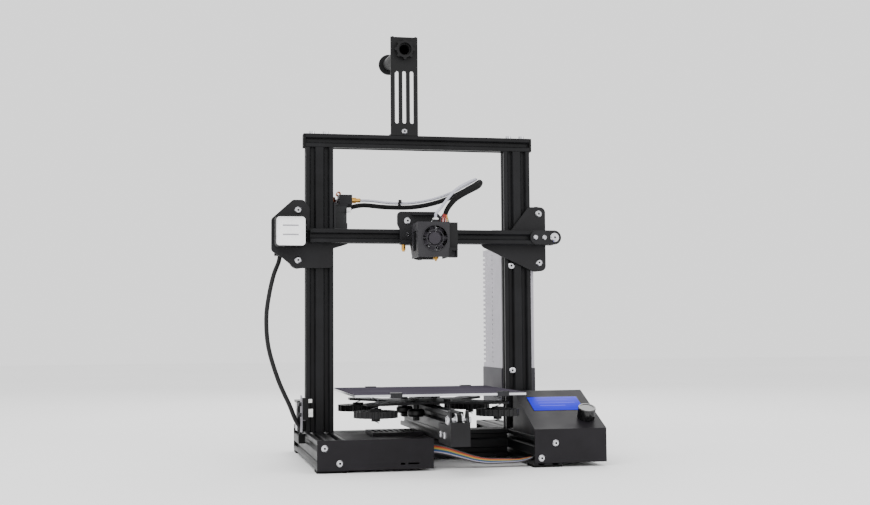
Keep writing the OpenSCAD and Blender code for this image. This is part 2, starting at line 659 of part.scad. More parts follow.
module carriage_wheel(x, z) color("#141415") translate([x, x_beam_y, z]) rotate([90, 0, 0])
  v_wheel(2.5 + run);
module carriage_wheel_left() carriage_wheel(head_wheel_x[0], gantry_z + head_wheel_lift);
module carriage_wheel_right() carriage_wheel(head_wheel_x[1], gantry_z + head_wheel_lift);
module carriage_wheel_lower() carriage_wheel(head_low_x, gantry_z - head_wheel_lift);

module fan_rotor() color("#4a464c") translate([fan_x, 0, fan_z]) difference() {
  union() {
    along_y(8.6, 54.2, 61.8);
    for (a = [0 : 6]) rotate([0, a*360/7, 0]) translate([8, 58, 0]) rotate([32, 0, 0])
      translate([0, -0.6, -4]) cube([9, 1.2, 8]);
  }
  along_y(2 + run, 56, 63);
}

// ---------- bed ----------
wheel_spots = [[-22, -46], [22, -46], [-22, 46], [22, 46]];
stud_spots = [[-1, -1], [1, -1], [-1, 1], [1, 1]]*stud_pitch/2;

module bed_carriage() color("#2b292c") difference() {
  translate([0, bed_mid, 86]) linear_extrude(3) {
    square([66, 112], center = true);
    offset(4) offset(-4) polygon([[-99, -97], [-75, -99], [0, -66], [75, -99], [99, -97],
      [99, -73], [50, 0], [99, 73], [99, 97], [75, 99], [54, 55], [-54, 55], [-75, 99],
      [-99, 97], [-99, 73], [-50, 0], [-99, -73]]);
  }
  for (p = wheel_spots) translate([p[0], bed_mid + p[1], 80]) cylinder(r = 2.6, h = 12);
  for (p = stud_spots) translate([p[0], bed_mid + p[1], 80]) cylinder(r = 2.2, h = 12);
}

module bed_plate() color("#d6d6da") difference() {
  translate([0, bed_mid, bed_z]) linear_extrude(bed_t) rrect(bed_size, bed_size, 2);
  for (p = stud_spots) translate([p[0], bed_mid + p[1], bed_z - 1]) cylinder(r = 2.2, h = bed_t + 2);
}

module bed_surface() color("#56525a") translate([0, bed_mid, bed_z + bed_t])
  linear_extrude(1) rrect(bed_size - 1, bed_size - 1, 2);

// four spring clips holding the print surface to the plate
module bed_clips() color("#171717") for (x = [-62, 85], s = [-1, 1])
  translate([x, bed_mid, 0]) scale([1, s, 1]) {
    block(-8, 8, -bed_size/2 - 1.3, -bed_size/2 - 0.1, bed_z - 1.2, bed_z + bed_t + 2.4);
    block(-8, 8, -bed_size/2 - 1.3, -bed_size/2 + 9, bed_z + bed_t + 1.1, bed_z + bed_t + 2.4);
    block(-8, 8, -bed_size/2 - 1.3, -bed_size/2 + 9, bed_z - 1.3, bed_z - 0.1);
  }

module bed_springs() color("#6b6b70") for (p = stud_spots) translate([p[0], bed_mid + p[1], 0]) {
  difference() {
    union() {
      translate([0, 0, 89.1]) cylinder(r = 3.2, h = bed_z - 89.2);
      for (i = [0 : 4]) translate([0, 0, 90.2 + i*1.9]) rotate_extrude($fn = 32)
        translate([3.6, 0]) circle(0.7, $fn = 12);
    }
    translate([0, 0, 80]) cylinder(r = 2.05, h = 30);
  }
  translate([0, 0, 62]) cylinder(r = 1.95, h = bed_z + bed_t - 62.2);
}

module bed_wheels() color("#141415") for (p = wheel_spots) translate([p[0], bed_mid + p[1], 0]) {
  translate([0, 0, 73]) v_wheel(2.6);
  difference() {
    translate([0, 0, 78.2]) cylinder(r = 4, h = 7.7);
    translate([0, 0, 70]) cylinder(r = 2.6, h = 30);
  }
  translate([0, 0, 64]) cylinder(r = 2.5, h = 25.2);
  translate([0, 0, 62.5]) cylinder(r = 4.6, h = 5.2, $fn = 6);
  translate([0, 0, 89.1]) cylinder(r = 4.8, h = 3);
}

module level_knob(i) color("#1a191b") translate([stud_spots[i][0], bed_mid + stud_spots[i][1], 70])
  difference() {
    union() {
      linear_extrude(9) difference() {
        circle(knob_d/2);
        for (a = [0 : 23]) rotate(a*15) translate([knob_d/2 + 0.6, 0]) circle(2.3, $fn = 20);
      }
      translate([0, 0, -5]) cylinder(r = 6, h = 6, $fn = 6);
      translate([0, 0, 9]) cylinder(r = 8, h = 3);
    }
    for (a = [0 : 5]) rotate(a*60) translate([17, 0, -1]) cylinder(r = 5, h = 12);
    translate([0, 0, -6]) cylinder(r = 2, h = 30, $fn = 32);
  }
module knob_front_left() level_knob(0);
module knob_front_right() level_knob(1);
module knob_rear_left() level_knob(2);
module knob_rear_right() level_knob(3);

// ---------- drives ----------
module lead_screw() color("#bdbdc1") translate([-156, 192, 0]) {
  difference() {
    translate([0, 0, 88.5]) cylinder(r = 9.5, h = 25);
    translate([0, 0, 80]) cylinder(r = 2.55, h = 27, $fn = 32);
  }
  translate([0, 0, 113]) cylinder(r = 4, h = 330);
}

module y_drive_pulley() color("#c4c4c8") translate([0, 280, belt_z]) rotate([0, 90, 0]) pulley(2.55);
module y_idler_pulley() color("#d2d2d6") translate([0, -102, belt_z]) rotate([0, 90, 0]) pulley(2.55);
module x_drive_pulley() color("#c4c4c8") translate([-191, x_beam_y, gantry_z])
  rotate([90, 0, 0]) pulley(2.55);
module x_idler_pulley() color("#d2d2d6") translate([197, x_beam_y, gantry_z])
  rotate([90, 0, 0]) pulley(2.55);

// ---------- output ----------
module placed() translate([-centre_x, -centre_y, 0]) children();

placed() {
  base_rail_left();
  base_rail_right();
  cross_beam();
  upright_left();
  upright_right();
  top_bar();
  y_beam();
  y_idler_bracket();
  frame_motors();
  electronics_box();
  display_box();
  lcd_screen();
  power_supply();
  psu_end_cover();
  spool_holder();
  z_limit_switch();
  feet_and_caps();
  frame_bolts();
  y_belt();
  ribbon_cable();
  base_harness();
  x_beam();
  gantry_plate_left();
  gantry_plate_right();
  gantry_motors();
  x_motor_cover();
  belt_tensioner();
  x_belt();
  extruder_body();
  gantry_wheels();
  gantry_bolts();
  bowden_tube();
  sleeved_loom();
  carriage_plate();
  fan_shroud();
  hot_end();
  carriage_bolts();
  bed_carriage();
  bed_plate();
  bed_surface();
  bed_clips();
  bed_springs();
  bed_wheels();
  lead_screw();
  y_drive_pulley();
  y_idler_pulley();
  x_drive_pulley();
  x_idler_pulley();
  encoder_knob();
  power_switch();
  extruder_lever();
  extruder_gear();
  fan_rotor();
  knob_front_left();
  knob_front_right();
  knob_rear_left();
  knob_rear_right();
  carriage_wheel_left();
  carriage_wheel_right();
  carriage_wheel_lower();
}
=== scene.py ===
"""Looks for an open-frame filament printer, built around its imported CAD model.

The CAD nodes give the extruded frame, plates, motors and running parts. This
script dresses each of them in its real finish, makes the leads that hang
between the moving parts, and adds the small pieces that sit on the CAD:
springs, connectors, the lit display, labels, ties and wire tails.
"""

import logging
import math
from dataclasses import dataclass, field
from enum import Enum

import bpy
from mathutils import Matrix, Vector


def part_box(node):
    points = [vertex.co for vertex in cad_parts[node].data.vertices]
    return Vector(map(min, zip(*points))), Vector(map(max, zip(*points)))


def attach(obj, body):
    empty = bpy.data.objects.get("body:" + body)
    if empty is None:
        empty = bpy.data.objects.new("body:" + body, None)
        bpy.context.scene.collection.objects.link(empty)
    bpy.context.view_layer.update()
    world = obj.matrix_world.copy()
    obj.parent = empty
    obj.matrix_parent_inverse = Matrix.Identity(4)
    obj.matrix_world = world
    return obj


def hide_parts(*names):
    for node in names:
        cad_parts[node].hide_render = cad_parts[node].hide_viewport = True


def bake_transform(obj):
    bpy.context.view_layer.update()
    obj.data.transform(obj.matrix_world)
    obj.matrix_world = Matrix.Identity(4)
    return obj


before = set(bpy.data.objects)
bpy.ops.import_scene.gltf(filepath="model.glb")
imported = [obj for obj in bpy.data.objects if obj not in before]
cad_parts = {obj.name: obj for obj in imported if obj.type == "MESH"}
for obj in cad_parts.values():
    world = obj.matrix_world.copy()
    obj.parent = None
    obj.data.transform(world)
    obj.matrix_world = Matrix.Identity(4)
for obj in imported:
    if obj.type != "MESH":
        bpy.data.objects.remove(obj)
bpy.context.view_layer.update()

MM = 0.001
LOG = logging.getLogger("printer")


# ---------------------------------------------------------------- places
@dataclass(frozen=True)
class Datum:
    """The maker's own zero: the middle of the machine at the rails' front end.

    Args:
        x: Where that zero lies along X in the row frame, in metres.
        y: Where it lies along Y in the row frame, in metres.
    """

    x: float
    y: float

    @classmethod
    def from_rails(cls) -> "Datum":
        """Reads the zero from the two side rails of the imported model."""
        left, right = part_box("base_rail_left"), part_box("base_rail_right")
        return cls((left[0].x + right[1].x) / 2, left[0].y)

    def at(self, x: float, y: float, z: float) -> Vector:
        """Turns millimetres from the maker's zero into metres in the row frame."""
        return Vector((self.x + x * MM, self.y + y * MM, z * MM))

    def route(self, points: list[tuple[float, float, float]]) -> list[Vector]:
        """Turns a list of millimetre points into row-frame points."""
        return [self.at(*p) for p in points]


DATUM = Datum.from_rails()


# ---------------------------------------------------------------- finishes
class Grain(Enum):
    """How a surface was made, which decides the pattern its finish carries."""

    DRAWN_X = "drawn along x"
    DRAWN_Y = "drawn along y"
    DRAWN_Z = "drawn along z"
    POWDER = "powder coated"
    MOULDED = "moulded"
    PEBBLED = "pebbled"
    TURNED = "turned"
    BRAIDED = "braided"
    TOOTHED_X = "teeth across x"
    TOOTHED_Y = "teeth across y"
    THREADED = "threaded"
    SMOOTH = "smooth"


@dataclass(frozen=True)
class Finish:
    """One real surface finish.

    Args:
        name: Common name of the material and its finish.
        dark: sRGB hex of its darker patches.
        light: sRGB hex of its lighter patches.
        grain: The way it was made.
        metallic: 1 for bare metal, 0 otherwise.
        rough: Middle roughness.
        spread: How far roughness wanders to either side.
        ior: Refractive index of a non-metal.
        grain_mm: Size of one grain of the pattern.
        patch_mm: Size of the slow colour patches.
        depth_mm: Height of the grain.
        coat: Weight of a clear coat.
        glow: Strength of its own light.
        glow_hex: sRGB hex of its own light.
        shine: How strongly a non-metal mirrors; 0.5 is bare plastic.
    """

    name: str
    dark: str
    light: str
    grain: Grain = Grain.SMOOTH
    metallic: float = 0.0
    rough: float = 0.5
    spread: float = 0.06
    ior: float = 1.5
    grain_mm: float = 0.8
    patch_mm: float = 45.0
    depth_mm: float = 0.03
    coat: float = 0.0
    glow: float = 0.0
    glow_hex: str = "#000000"
    shine: float = 0.5


def linear(colour: str) -> tuple[float, float, float, float]:
    """Turns an sRGB hex colour into linear red, green, blue and alpha."""
    parts = [int(colour[i : i + 2], 16) / 255 for i in (1, 3, 5)]
    rgb = [c / 12.92 if c <= 0.04045 else ((c + 0.055) / 1.055) ** 2.4 for c in parts]
    return rgb[0], rgb[1], rgb[2], 1.0


def add_node(
    tree: bpy.types.NodeTree, kind: str, inputs: dict | None = None, **settings: object
) -> bpy.types.Node:
    """Adds one node with its settings, and links or sets its inputs.

    Args:
        tree: The node tree it goes in.
        kind: The node's type name.
        inputs: Input name or index to a socket to link, or to a value to set.
        settings: The node's own properties.

    Returns:
        The new node.
    """
    node = tree.nodes.new(kind)
    for key, value in settings.items():
        setattr(node, key, value)
    for key, value in (inputs or {}).items():
        if isinstance(value, bpy.types.NodeSocket):
            tree.links.new(value, node.inputs[key])
        else:
            node.inputs[key].default_value = value
    return node


def add_maths(
    tree: bpy.types.NodeTree, operation: str, *inputs: object
) -> bpy.types.NodeSocket:
    """Adds one sum to a node tree.

    Args:
        tree: The node tree it goes in.
        operation: The sum's name.
        inputs: Its one or two inputs, each a socket or a number.

    Returns:
        The socket of its answer.
    """
    values = dict(enumerate(inputs))
    return add_node(tree, "ShaderNodeMath", values, operation=operation).outputs[0]


class Paint:
    """Builds materials from finishes, each once."""

    PER_M = 1000.0
    DRAW_LENGTH_MM = 60.0

    def __init__(self) -> None:
        """Starts with nothing built."""
        self.made: dict[str, bpy.types.Material] = {}

    def material(self, finish: Finish) -> bpy.types.Material:
        """Returns the finish's material, and builds it the first time."""
        if finish.name not in self.made:
            self.made[finish.name] = self.build(finish)
        return self.made[finish.name]

    def height(
        self, tree: bpy.types.NodeTree, finish: Finish, coords: bpy.types.Node
    ) -> bpy.types.NodeSocket | None:
        """Adds the nodes of the grain's height.

        Args:
            tree: The material's tree.
            finish: The finish being built.
            coords: Its texture coordinate node.

        Returns:
            The height's socket, or None where the finish is smooth.
        """
        space = coords.outputs["Object"]
        grains = self.PER_M / finish.grain_mm
        drawn = (Grain.DRAWN_X, Grain.DRAWN_Y, Grain.DRAWN_Z)
        if finish.grain in drawn:
            # Fine die lines run the length of an extrusion.
            scale = [grains] * 3
            scale[drawn.index(finish.grain)] = self.PER_M / self.DRAW_LENGTH_MM
            lines = add_node(tree, "ShaderNodeMapping", {"Vector": space, "Scale": scale})
            return add_node(
                tree,
                "ShaderNodeTexNoise",
                {"Vector": lines.outputs[0], "Scale": 1.0, "Detail": 3.0},
            ).outputs["Fac"]
        if finish.grain in (Grain.POWDER, Grain.MOULDED, Grain.TURNED):
            detail = 4.0 if finish.grain is Grain.POWDER else 2.0
            return add_node(
                tree,
                "ShaderNodeTexNoise",
                {"Vector": space, "Scale": grains, "Detail": detail, "Roughness": 0.6},
            ).outputs["Fac"]
        if finish.grain is Grain.PEBBLED:
            return add_node(
                tree,
                "ShaderNodeTexVoronoi",
                {"Vector": space, "Scale": grains, "Randomness": 1.0},
                feature="SMOOTH_F1",
            ).outputs["Distance"]
        if finish.grain is Grain.BRAIDED:
            return self.braid(tree, finish, coords)
        if finish.grain in (Grain.TOOTHED_X, Grain.TOOTHED_Y):
            axis = 0 if finish.grain is Grain.TOOTHED_X else 1
            split = add_node(tree, "ShaderNodeSeparateXYZ", {0: space})
            return self.wave(tree, split.outputs[axis], grains)
        if finish.grain is Grain.THREADED:
            return self.thread(tree, finish, space)
        return None

    def wave(
        self, tree: bpy.types.NodeTree, along: bpy.types.NodeSocket, per_unit: float
    ) -> bpy.types.NodeSocket:
        """Adds a sine that repeats per_unit times in a unit of its input."""
        turned = add_maths(tree, "MULTIPLY", along, per_unit * math.tau)
        return add_maths(tree, "SINE", turned)

    def braid(
        self, tree: bpy.types.NodeTree, finish: Finish, coords: bpy.types.Node
    ) -> bpy.types.NodeSocket:
        """Adds two crossing sets of strands, laid out in the piece's own UV in mm."""
        split = add_node(tree, "ShaderNodeSeparateXYZ", {0: coords.outputs["UV"]})
        sides = []
        for sign in ("ADD", "SUBTRACT"):
            slant = add_maths(tree, sign, split.outputs[0], split.outputs[1])
            sides.append(self.wave(tree, slant, 1 / finish.grain_mm))
        return add_maths(tree, "MAXIMUM", *sides)

    def thread(
        self, tree: bpy.types.NodeTree, finish: Finish, space: bpy.types.NodeSocket
    ) -> bpy.types.NodeSocket:
        """Adds a four-start helical thread round the lead screw's own axis."""
        starts = 4
        low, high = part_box("lead_screw")
        centre = (low + high) / 2
        local = add_node(
            tree,
            "ShaderNodeMapping",
            {"Vector": space, "Location": (-centre.x, -centre.y, 0.0)},
        )
        split = add_node(tree, "ShaderNodeSeparateXYZ", {0: local.outputs[0]})
        turn = add_maths(tree, "ARCTAN2", split.outputs[1], split.outputs[0])
        turns = add_maths(tree, "MULTIPLY", turn, starts / math.tau)
        rise = add_maths(tree, "MULTIPLY", split.outputs[2], self.PER_M / finish.grain_mm)
        phase = add_maths(tree, "SUBTRACT", rise, turns)
        return self.wave(tree, phase, 1.0)

    def build(self, finish: Finish) -> bpy.types.Material:
        """Builds the finish's material.

        Args:
            finish: What to build.

        Returns:
            The new material.
        """
        made = bpy.data.materials.new(finish.name)
        made.use_nodes = True
        made.diffuse_color = linear(finish.light)
        tree = made.node_tree
        tree.nodes.clear()
        coords = add_node(tree, "ShaderNodeTexCoord")
        # Slow patches: handling marks and the uneven dye or coat of the real skin.
        patches = add_node(
            tree,
            "ShaderNodeTexNoise",
            {
                "Vector": coords.outputs["Object"],
                "Scale": self.PER_M / finish.patch_mm,
                "Detail": 5.0,
                "Roughness": 0.55,
            },
        )
        ramp = add_node(tree, "ShaderNodeValToRGB", {"Fac": patches.outputs["Fac"]})
        for stop, place, colour in zip(
            ramp.color_ramp.elements, (0.3, 0.72), (finish.dark, finish.light)
        ):
            stop.position, stop.color = place, linear(colour)
        rough = add_node(
            tree,
            "ShaderNodeMapRange",
            {
                "Value": patches.outputs["Fac"],
                "From Min": 0.3,
                "From Max": 0.7,
                "To Min": max(finish.rough - finish.spread, 0.02),
                "To Max": min(finish.rough + finish.spread, 1.0),
            },
        )
        shader = add_node(
            tree,
            "ShaderNodeBsdfPrincipled",
            {
                "Base Color": ramp.outputs["Color"],
                "Metallic": finish.metallic,
                "Roughness": rough.outputs["Result"],
                "Coat Weight": finish.coat,
            },
        )
        if finish.metallic < 1:
            shader.inputs["IOR"].default_value = finish.ior
            shader.inputs["Specular IOR Level"].default_value = finish.shine
        if finish.glow > 0:
            shader.inputs["Emission Color"].default_value = linear(finish.glow_hex)
            shader.inputs["Emission Strength"].default_value = finish.glow
        height = self.height(tree, finish, coords)
        if height is not None:
            bump = add_node(
                tree,
                "ShaderNodeBump",
                {"Height": height, "Strength": 0.5, "Distance": finish.depth_mm * MM},
            )
            tree.links.new(bump.outputs["Normal"], shader.inputs["Normal"])
        add_node(
            tree, "ShaderNodeOutputMaterial", {"Surface": shader.outputs["BSDF"]}
        )
        return made


PAINT = Paint()


def anodised(grain: Grain) -> Finish:
    """Satin black anodised extrusion; its die lines run along its own length."""
    # Die lines are about 0.1 mm apart; they are drawn at 0.7 mm so that they show.
    return Finish(
        f"black_anodised_aluminium_{grain.name.lower()}",
        "#0e0e0f",
        "#18181a",
        grain,
        rough=0.4,
        spread=0.05,
        shine=0.16,
        grain_mm=0.7,
        depth_mm=0.02,
    )


# Powder coat: a faint orange peel over sheet steel, with a warm violet cast.
SHEET_COAT = Finish(
    "powder_coated_steel", "#121013", "#1b191d", Grain.POWDER, rough=0.5, grain_mm=1.6,
    depth_mm=0.03, shine=0.18,
)
PLATE_COAT = Finish(
    "satin_coated_plate", "#111012", "#1b1b1d", Grain.POWDER, rough=0.46, grain_mm=1.2,
    depth_mm=0.02, shine=0.2,
)
SHROUD_COAT = Finish(
    "satin_coated_shroud", "#232225", "#2f2e31", Grain.POWDER, rough=0.5, grain_mm=1.2,
    depth_mm=0.02, shine=0.2,
)
BLACK_ABS = Finish(
    "moulded_black_abs", "#0c0c0d", "#141415", Grain.MOULDED, rough=0.55, grain_mm=0.9, shine=0.2,
)
KNOB_ABS = Finish(
    "moulded_grey_black_abs", "#101011", "#19181a", Grain.MOULDED, rough=0.5, grain_mm=0.9, shine=0.25,
)
COVER_ABS = Finish(
    "moulded_dark_grey_abs", "#38363c", "#444248", Grain.MOULDED, rough=0.55, grain_mm=1.1, shine=0.25,
)
FAN_ABS = Finish(
    "moulded_fan_nylon", "#2b282e", "#37343a", Grain.MOULDED, rough=0.5, grain_mm=0.7, shine=0.2,
)
WHEEL_POM = Finish(
    "turned_black_acetal", "#0b0b0c", "#131314", Grain.TURNED, rough=0.35, grain_mm=0.6, shine=0.3,
)
RUBBER = Finish(
    "black_rubber", "#0c0c0c", "#131313", Grain.MOULDED, rough=0.8, grain_mm=0.7, shine=0.15,
)
BELT_X = Finish(
    "ribbed_belt_rubber_x", "#0c0c0c", "#131313", Grain.TOOTHED_X, rough=0.75,
    grain_mm=2.0, depth_mm=0.4, shine=0.15,
)
BELT_Y = Finish(
    "ribbed_belt_rubber_y", "#0c0c0c", "#131313", Grain.TOOTHED_Y, rough=0.75,
    grain_mm=2.0, depth_mm=0.4, shine=0.15,
)
ZINC = Finish(
    "bright_zinc_steel", "#b9b9bd", "#dcdce0", Grain.TURNED, metallic=1, rough=0.26,
    grain_mm=0.5, patch_mm=9, depth_mm=0.01,
)
MOTOR_BLACK = Finish(
    "black_motor_lacquer", "#0f1012", "#191a1c", Grain.MOULDED, rough=0.4, grain_mm=1.4,
    depth_mm=0.02, shine=0.3,
)
PLATE_ALUMINIUM = Finish(
    "milled_aluminium", "#c3c3c7", "#e2e2e6", Grain.DRAWN_X, metallic=1, rough=0.3,
    grain_mm=0.6, depth_mm=0.01,
)
PRINT_MAT = Finish(
    # The build sheet's grit is about 0.3 mm; it is drawn at 1.1 mm so that it shows.
    "textured_build_sheet", "#3f3b44", "#4b4850", Grain.PEBBLED, rough=0.9,
    grain_mm=1.1, depth_mm=0.05, patch_mm=80, shine=0.0,
)
CASE_STEEL = Finish(
    "satin_galvanised_case", "#a5a2aa", "#bab7bf", Grain.DRAWN_Z, metallic=0.35,
    rough=0.45, grain_mm=0.8, depth_mm=0.015, patch_mm=30,
)
BRASS = Finish(
    "machined_brass", "#b9863a", "#dcae5c", Grain.TURNED, metallic=1, rough=0.28,
    grain_mm=0.5, patch_mm=6, depth_mm=0.01,
)
COPPER = Finish(
    "copper_plated_wire", "#a8663f", "#cf8a5b", Grain.TURNED, metallic=1, rough=0.3,
    grain_mm=0.5, patch_mm=5, depth_mm=0.01,
)
HEAT_SINK = Finish(
    "finned_aluminium", "#9a9a9e", "#c4c4c8", Grain.TURNED, metallic=1, rough=0.34,
    grain_mm=0.6, patch_mm=12, depth_mm=0.01,
)
SCREW_STEEL = Finish(
    "rolled_screw_steel", "#a2a2a6", "#c8c8cc", Grain.THREADED, metallic=1, rough=0.3,
    grain_mm=2.0, patch_mm=20, depth_mm=0.5,
)
SPRING_STEEL = Finish(
    "spring_steel", "#8c8c90", "#b4b4b8", Grain.TURNED, metallic=1, rough=0.3,
    grain_mm=0.5, patch_mm=8, depth_mm=0.01,
)
CLIP_STEEL = Finish(
    "blackened_spring_steel", "#1c1c1e", "#2c2c2f", Grain.TURNED, metallic=0.6, rough=0.35,
    grain_mm=0.6, patch_mm=10, depth_mm=0.01,
)
BRACKET_STEEL = Finish(
    "grey_coated_bracket", "#7c7a80", "#949298", Grain.POWDER, metallic=0.4, rough=0.45,
    grain_mm=1.0, patch_mm=14, depth_mm=0.02,
)
FEED_TUBE = Finish(
    # Slippery fluoropolymer: milky, with a soft shine.
    "milky_fluoropolymer_tube", "#9d9da8", "#b6b6c0", Grain.SMOOTH, rough=0.3, ior=1.38,
    patch_mm=25, coat=0.3,
)
SLEEVE = Finish(
    # The braid's strands are 0.6 mm; they are drawn at 1.8 mm so that they show.
    "braided_polyester_sleeve", "#0a0a0a", "#151516", Grain.BRAIDED, rough=0.7,
    grain_mm=1.8, depth_mm=0.5, patch_mm=20, shine=0.15,
)
HARNESS_PVC = Finish(
    "black_pvc_sleeve", "#0c0c0d", "#141415", Grain.BRAIDED, rough=0.5, grain_mm=3.2,
    depth_mm=0.3, patch_mm=25, shine=0.25,
)
WHITE_NYLON = Finish(
    "white_nylon", "#dcdcda", "#f4f4f2", Grain.MOULDED, rough=0.45, grain_mm=0.6,
    patch_mm=8, depth_mm=0.01,
)
LABEL_FILM = Finish(
    "white_label_film", "#f1f1f2", "#fbfbfc", Grain.SMOOTH, rough=0.3, coat=0.4,
    patch_mm=30,
)
LABEL_INK = Finish(
    "grey_label_ink", "#8d8c92", "#9b9aa0", Grain.SMOOTH, rough=0.4, patch_mm=30
)
SCREEN_BLUE = Finish(
    "lit_display_blue", "#0a0850", "#0d0a62", Grain.SMOOTH, rough=0.3,
    patch_mm=40, glow=0.85, glow_hex="#160eff", shine=0.04,
)
SCREEN_MARKS = Finish(
    "lit_display_marks", "#2a2890", "#34329e", Grain.SMOOTH, rough=0.2, patch_mm=20,
    glow=0.8, glow_hex="#5a54ff", shine=0.04,
)
BEZEL = Finish(
    "black_display_bezel", "#0c0c0e", "#131315", Grain.MOULDED, rough=0.3, grain_mm=0.8, shine=0.1,
)
KNOB_GLOSS = Finish(
    "polished_black_abs", "#09090a", "#111113", Grain.MOULDED, rough=0.22, grain_mm=1.0,
    coat=0.5, depth_mm=0.01, shine=0.4,
)
ROCKER_RED = Finish(
    "moulded_red_polycarbonate", "#9c1a18", "#bb2522", Grain.MOULDED, rough=0.3,
    grain_mm=0.8, patch_mm=10,
)
FLOOR_WHITE = Finish(
    "matt_white_sweep", "#f6f6f6", "#fbfbfb", Grain.SMOOTH, rough=0.9, patch_mm=900
)


def wire(colour: str, name: str) -> Finish:
    """PVC-insulated wire of one colour, slightly glossy."""
    return Finish(
        f"pvc_wire_{name}", colour, colour, Grain.MOULDED, rough=0.42, grain_mm=1.5,
        depth_mm=0.01,
    )


WIRES = {
    name: wire(colour, name)
    for name, colour in {
        "slate": "#2f3a38",
        "red": "#8c1a15",
        "orange": "#b8591f",
        "yellow": "#a99a35",
        "teal": "#1f5560",
        "blue": "#27417d",
        "grey": "#a7a1ac",
        "black": "#221c20",
    }.items()
}


# ---------------------------------------------------------------- making
def clear_selection() -> None:
    """Leaves nothing selected, so that an operator acts on its own piece only."""
    if bpy.context.mode != "OBJECT":
        bpy.ops.object.mode_set(mode="OBJECT")
    bpy.ops.object.select_all(action="DESELECT")


def settle(piece: bpy.types.Object, name: str) -> bpy.types.Object:
    """Names a piece and moves its place, turn and scale into its mesh.

    Args:
        piece: The selected, active piece.
        name: Its name.

    Returns:
        The piece, with its origin at the world's.
    """
    piece.name = piece.data.name = name
    bpy.context.view_layer.update()
    piece.data.transform(piece.matrix_world)
    piece.matrix_world = Matrix.Identity(4)
    return piece


def apply_bevel(piece: bpy.types.Object, width_mm: float, segments: int = 3) -> None:
    """Rounds a piece's edges with a bevel modifier and applies it."""
    clear_selection()
    piece.select_set(True)
    bpy.context.view_layer.objects.active = piece
    bevel = piece.modifiers.new("rounding", "BEVEL")
    bevel.width, bevel.segments, bevel.limit_method = width_mm * MM, segments, "ANGLE"
    bpy.ops.object.modifier_apply(modifier=bevel.name)
    bpy.ops.object.shade_smooth_by_angle(angle=math.radians(35))


def join(pieces: list[bpy.types.Object], name: str) -> bpy.types.Object:
    """Joins pieces into the first of them, and names it."""
    clear_selection()
    for piece in pieces:
        piece.select_set(True)
    bpy.context.view_layer.objects.active = pieces[0]
    bpy.ops.object.join()
    pieces[0].name = pieces[0].data.name = name
    return pieces[0]


def slab(
    name: str,
    low: Vector,
    high: Vector,
    round_mm: float,
    tilt: Matrix | None = None,
) -> bpy.types.Object:
    """Makes a rounded block between two corners.

    Args:
        name: The piece's name.
        low: Its lowest corner, before the tilt.
        high: Its highest corner, before the tilt.
        round_mm: The radius of its edges.
        tilt: A matrix that places it, or None.

    Returns:
        The piece.
    """
    clear_selection()
    bpy.ops.mesh.primitive_cube_add(size=1, location=(low + high) / 2)
    piece = bpy.context.active_object
    piece.scale = high - low
    settle(piece, name)
    if tilt is not None:
        piece.data.transform(tilt)
    apply_bevel(piece, round_mm)
    return piece


def barrel(
    name: str,
    centre: Vector,
    axis: Vector,
    radius_mm: float,
    length_mm: float,
    round_mm: float,
    sides: int = 32,
) -> bpy.types.Object:
    """Makes a rounded cylinder about an axis through its centre."""
    clear_selection()
    bpy.ops.mesh.primitive_cylinder_add(
        vertices=sides, radius=radius_mm * MM, depth=length_mm * MM
    )
    piece = bpy.context.active_object
    turn = axis.to_track_quat("Z", "Y").to_matrix().to_4x4()
    piece.matrix_world = Matrix.Translation(centre) @ turn
    settle(piece, name)
    apply_bevel(piece, round_mm, 2)
    return piece


def smooth_route(points: list[Vector], steps: int) -> list[Vector]:
    """Runs one smooth curve through a route.

    Args:
        points: The route.
        steps: How many points to make between two of the route's.

    Returns:
        The curve's points, ends included.
    """
    curve: list[Vector] = []
    last = len(points) - 1
    for i in range(last):
        a, b = points[max(i - 1, 0)], points[i]
        c, d = points[i + 1], points[min(i + 2, last)]
        for k in range(steps):
            t = k / steps
            curve.append(
                0.5
                * (
                    2 * b
                    + (c - a) * t
                    + (2 * a - 5 * b + 4 * c - d) * t * t
                    + (3 * b - 3 * c + d - a) * t**3
                )
            )
    return [*curve, points[last]]


def route_length(path: list[Vector]) -> float:
    """Adds up a path's length in metres."""
    return sum((b - a).length for a, b in zip(path, path[1:]))


def headings(path: list[Vector]) -> list[Vector]:
    """Gives the direction of travel at each point of a path."""
    last = len(path) - 1
    return [
        (path[min(i + 1, last)] - path[max(i - 1, 0)]).normalized()
        for i in range(last + 1)
    ]


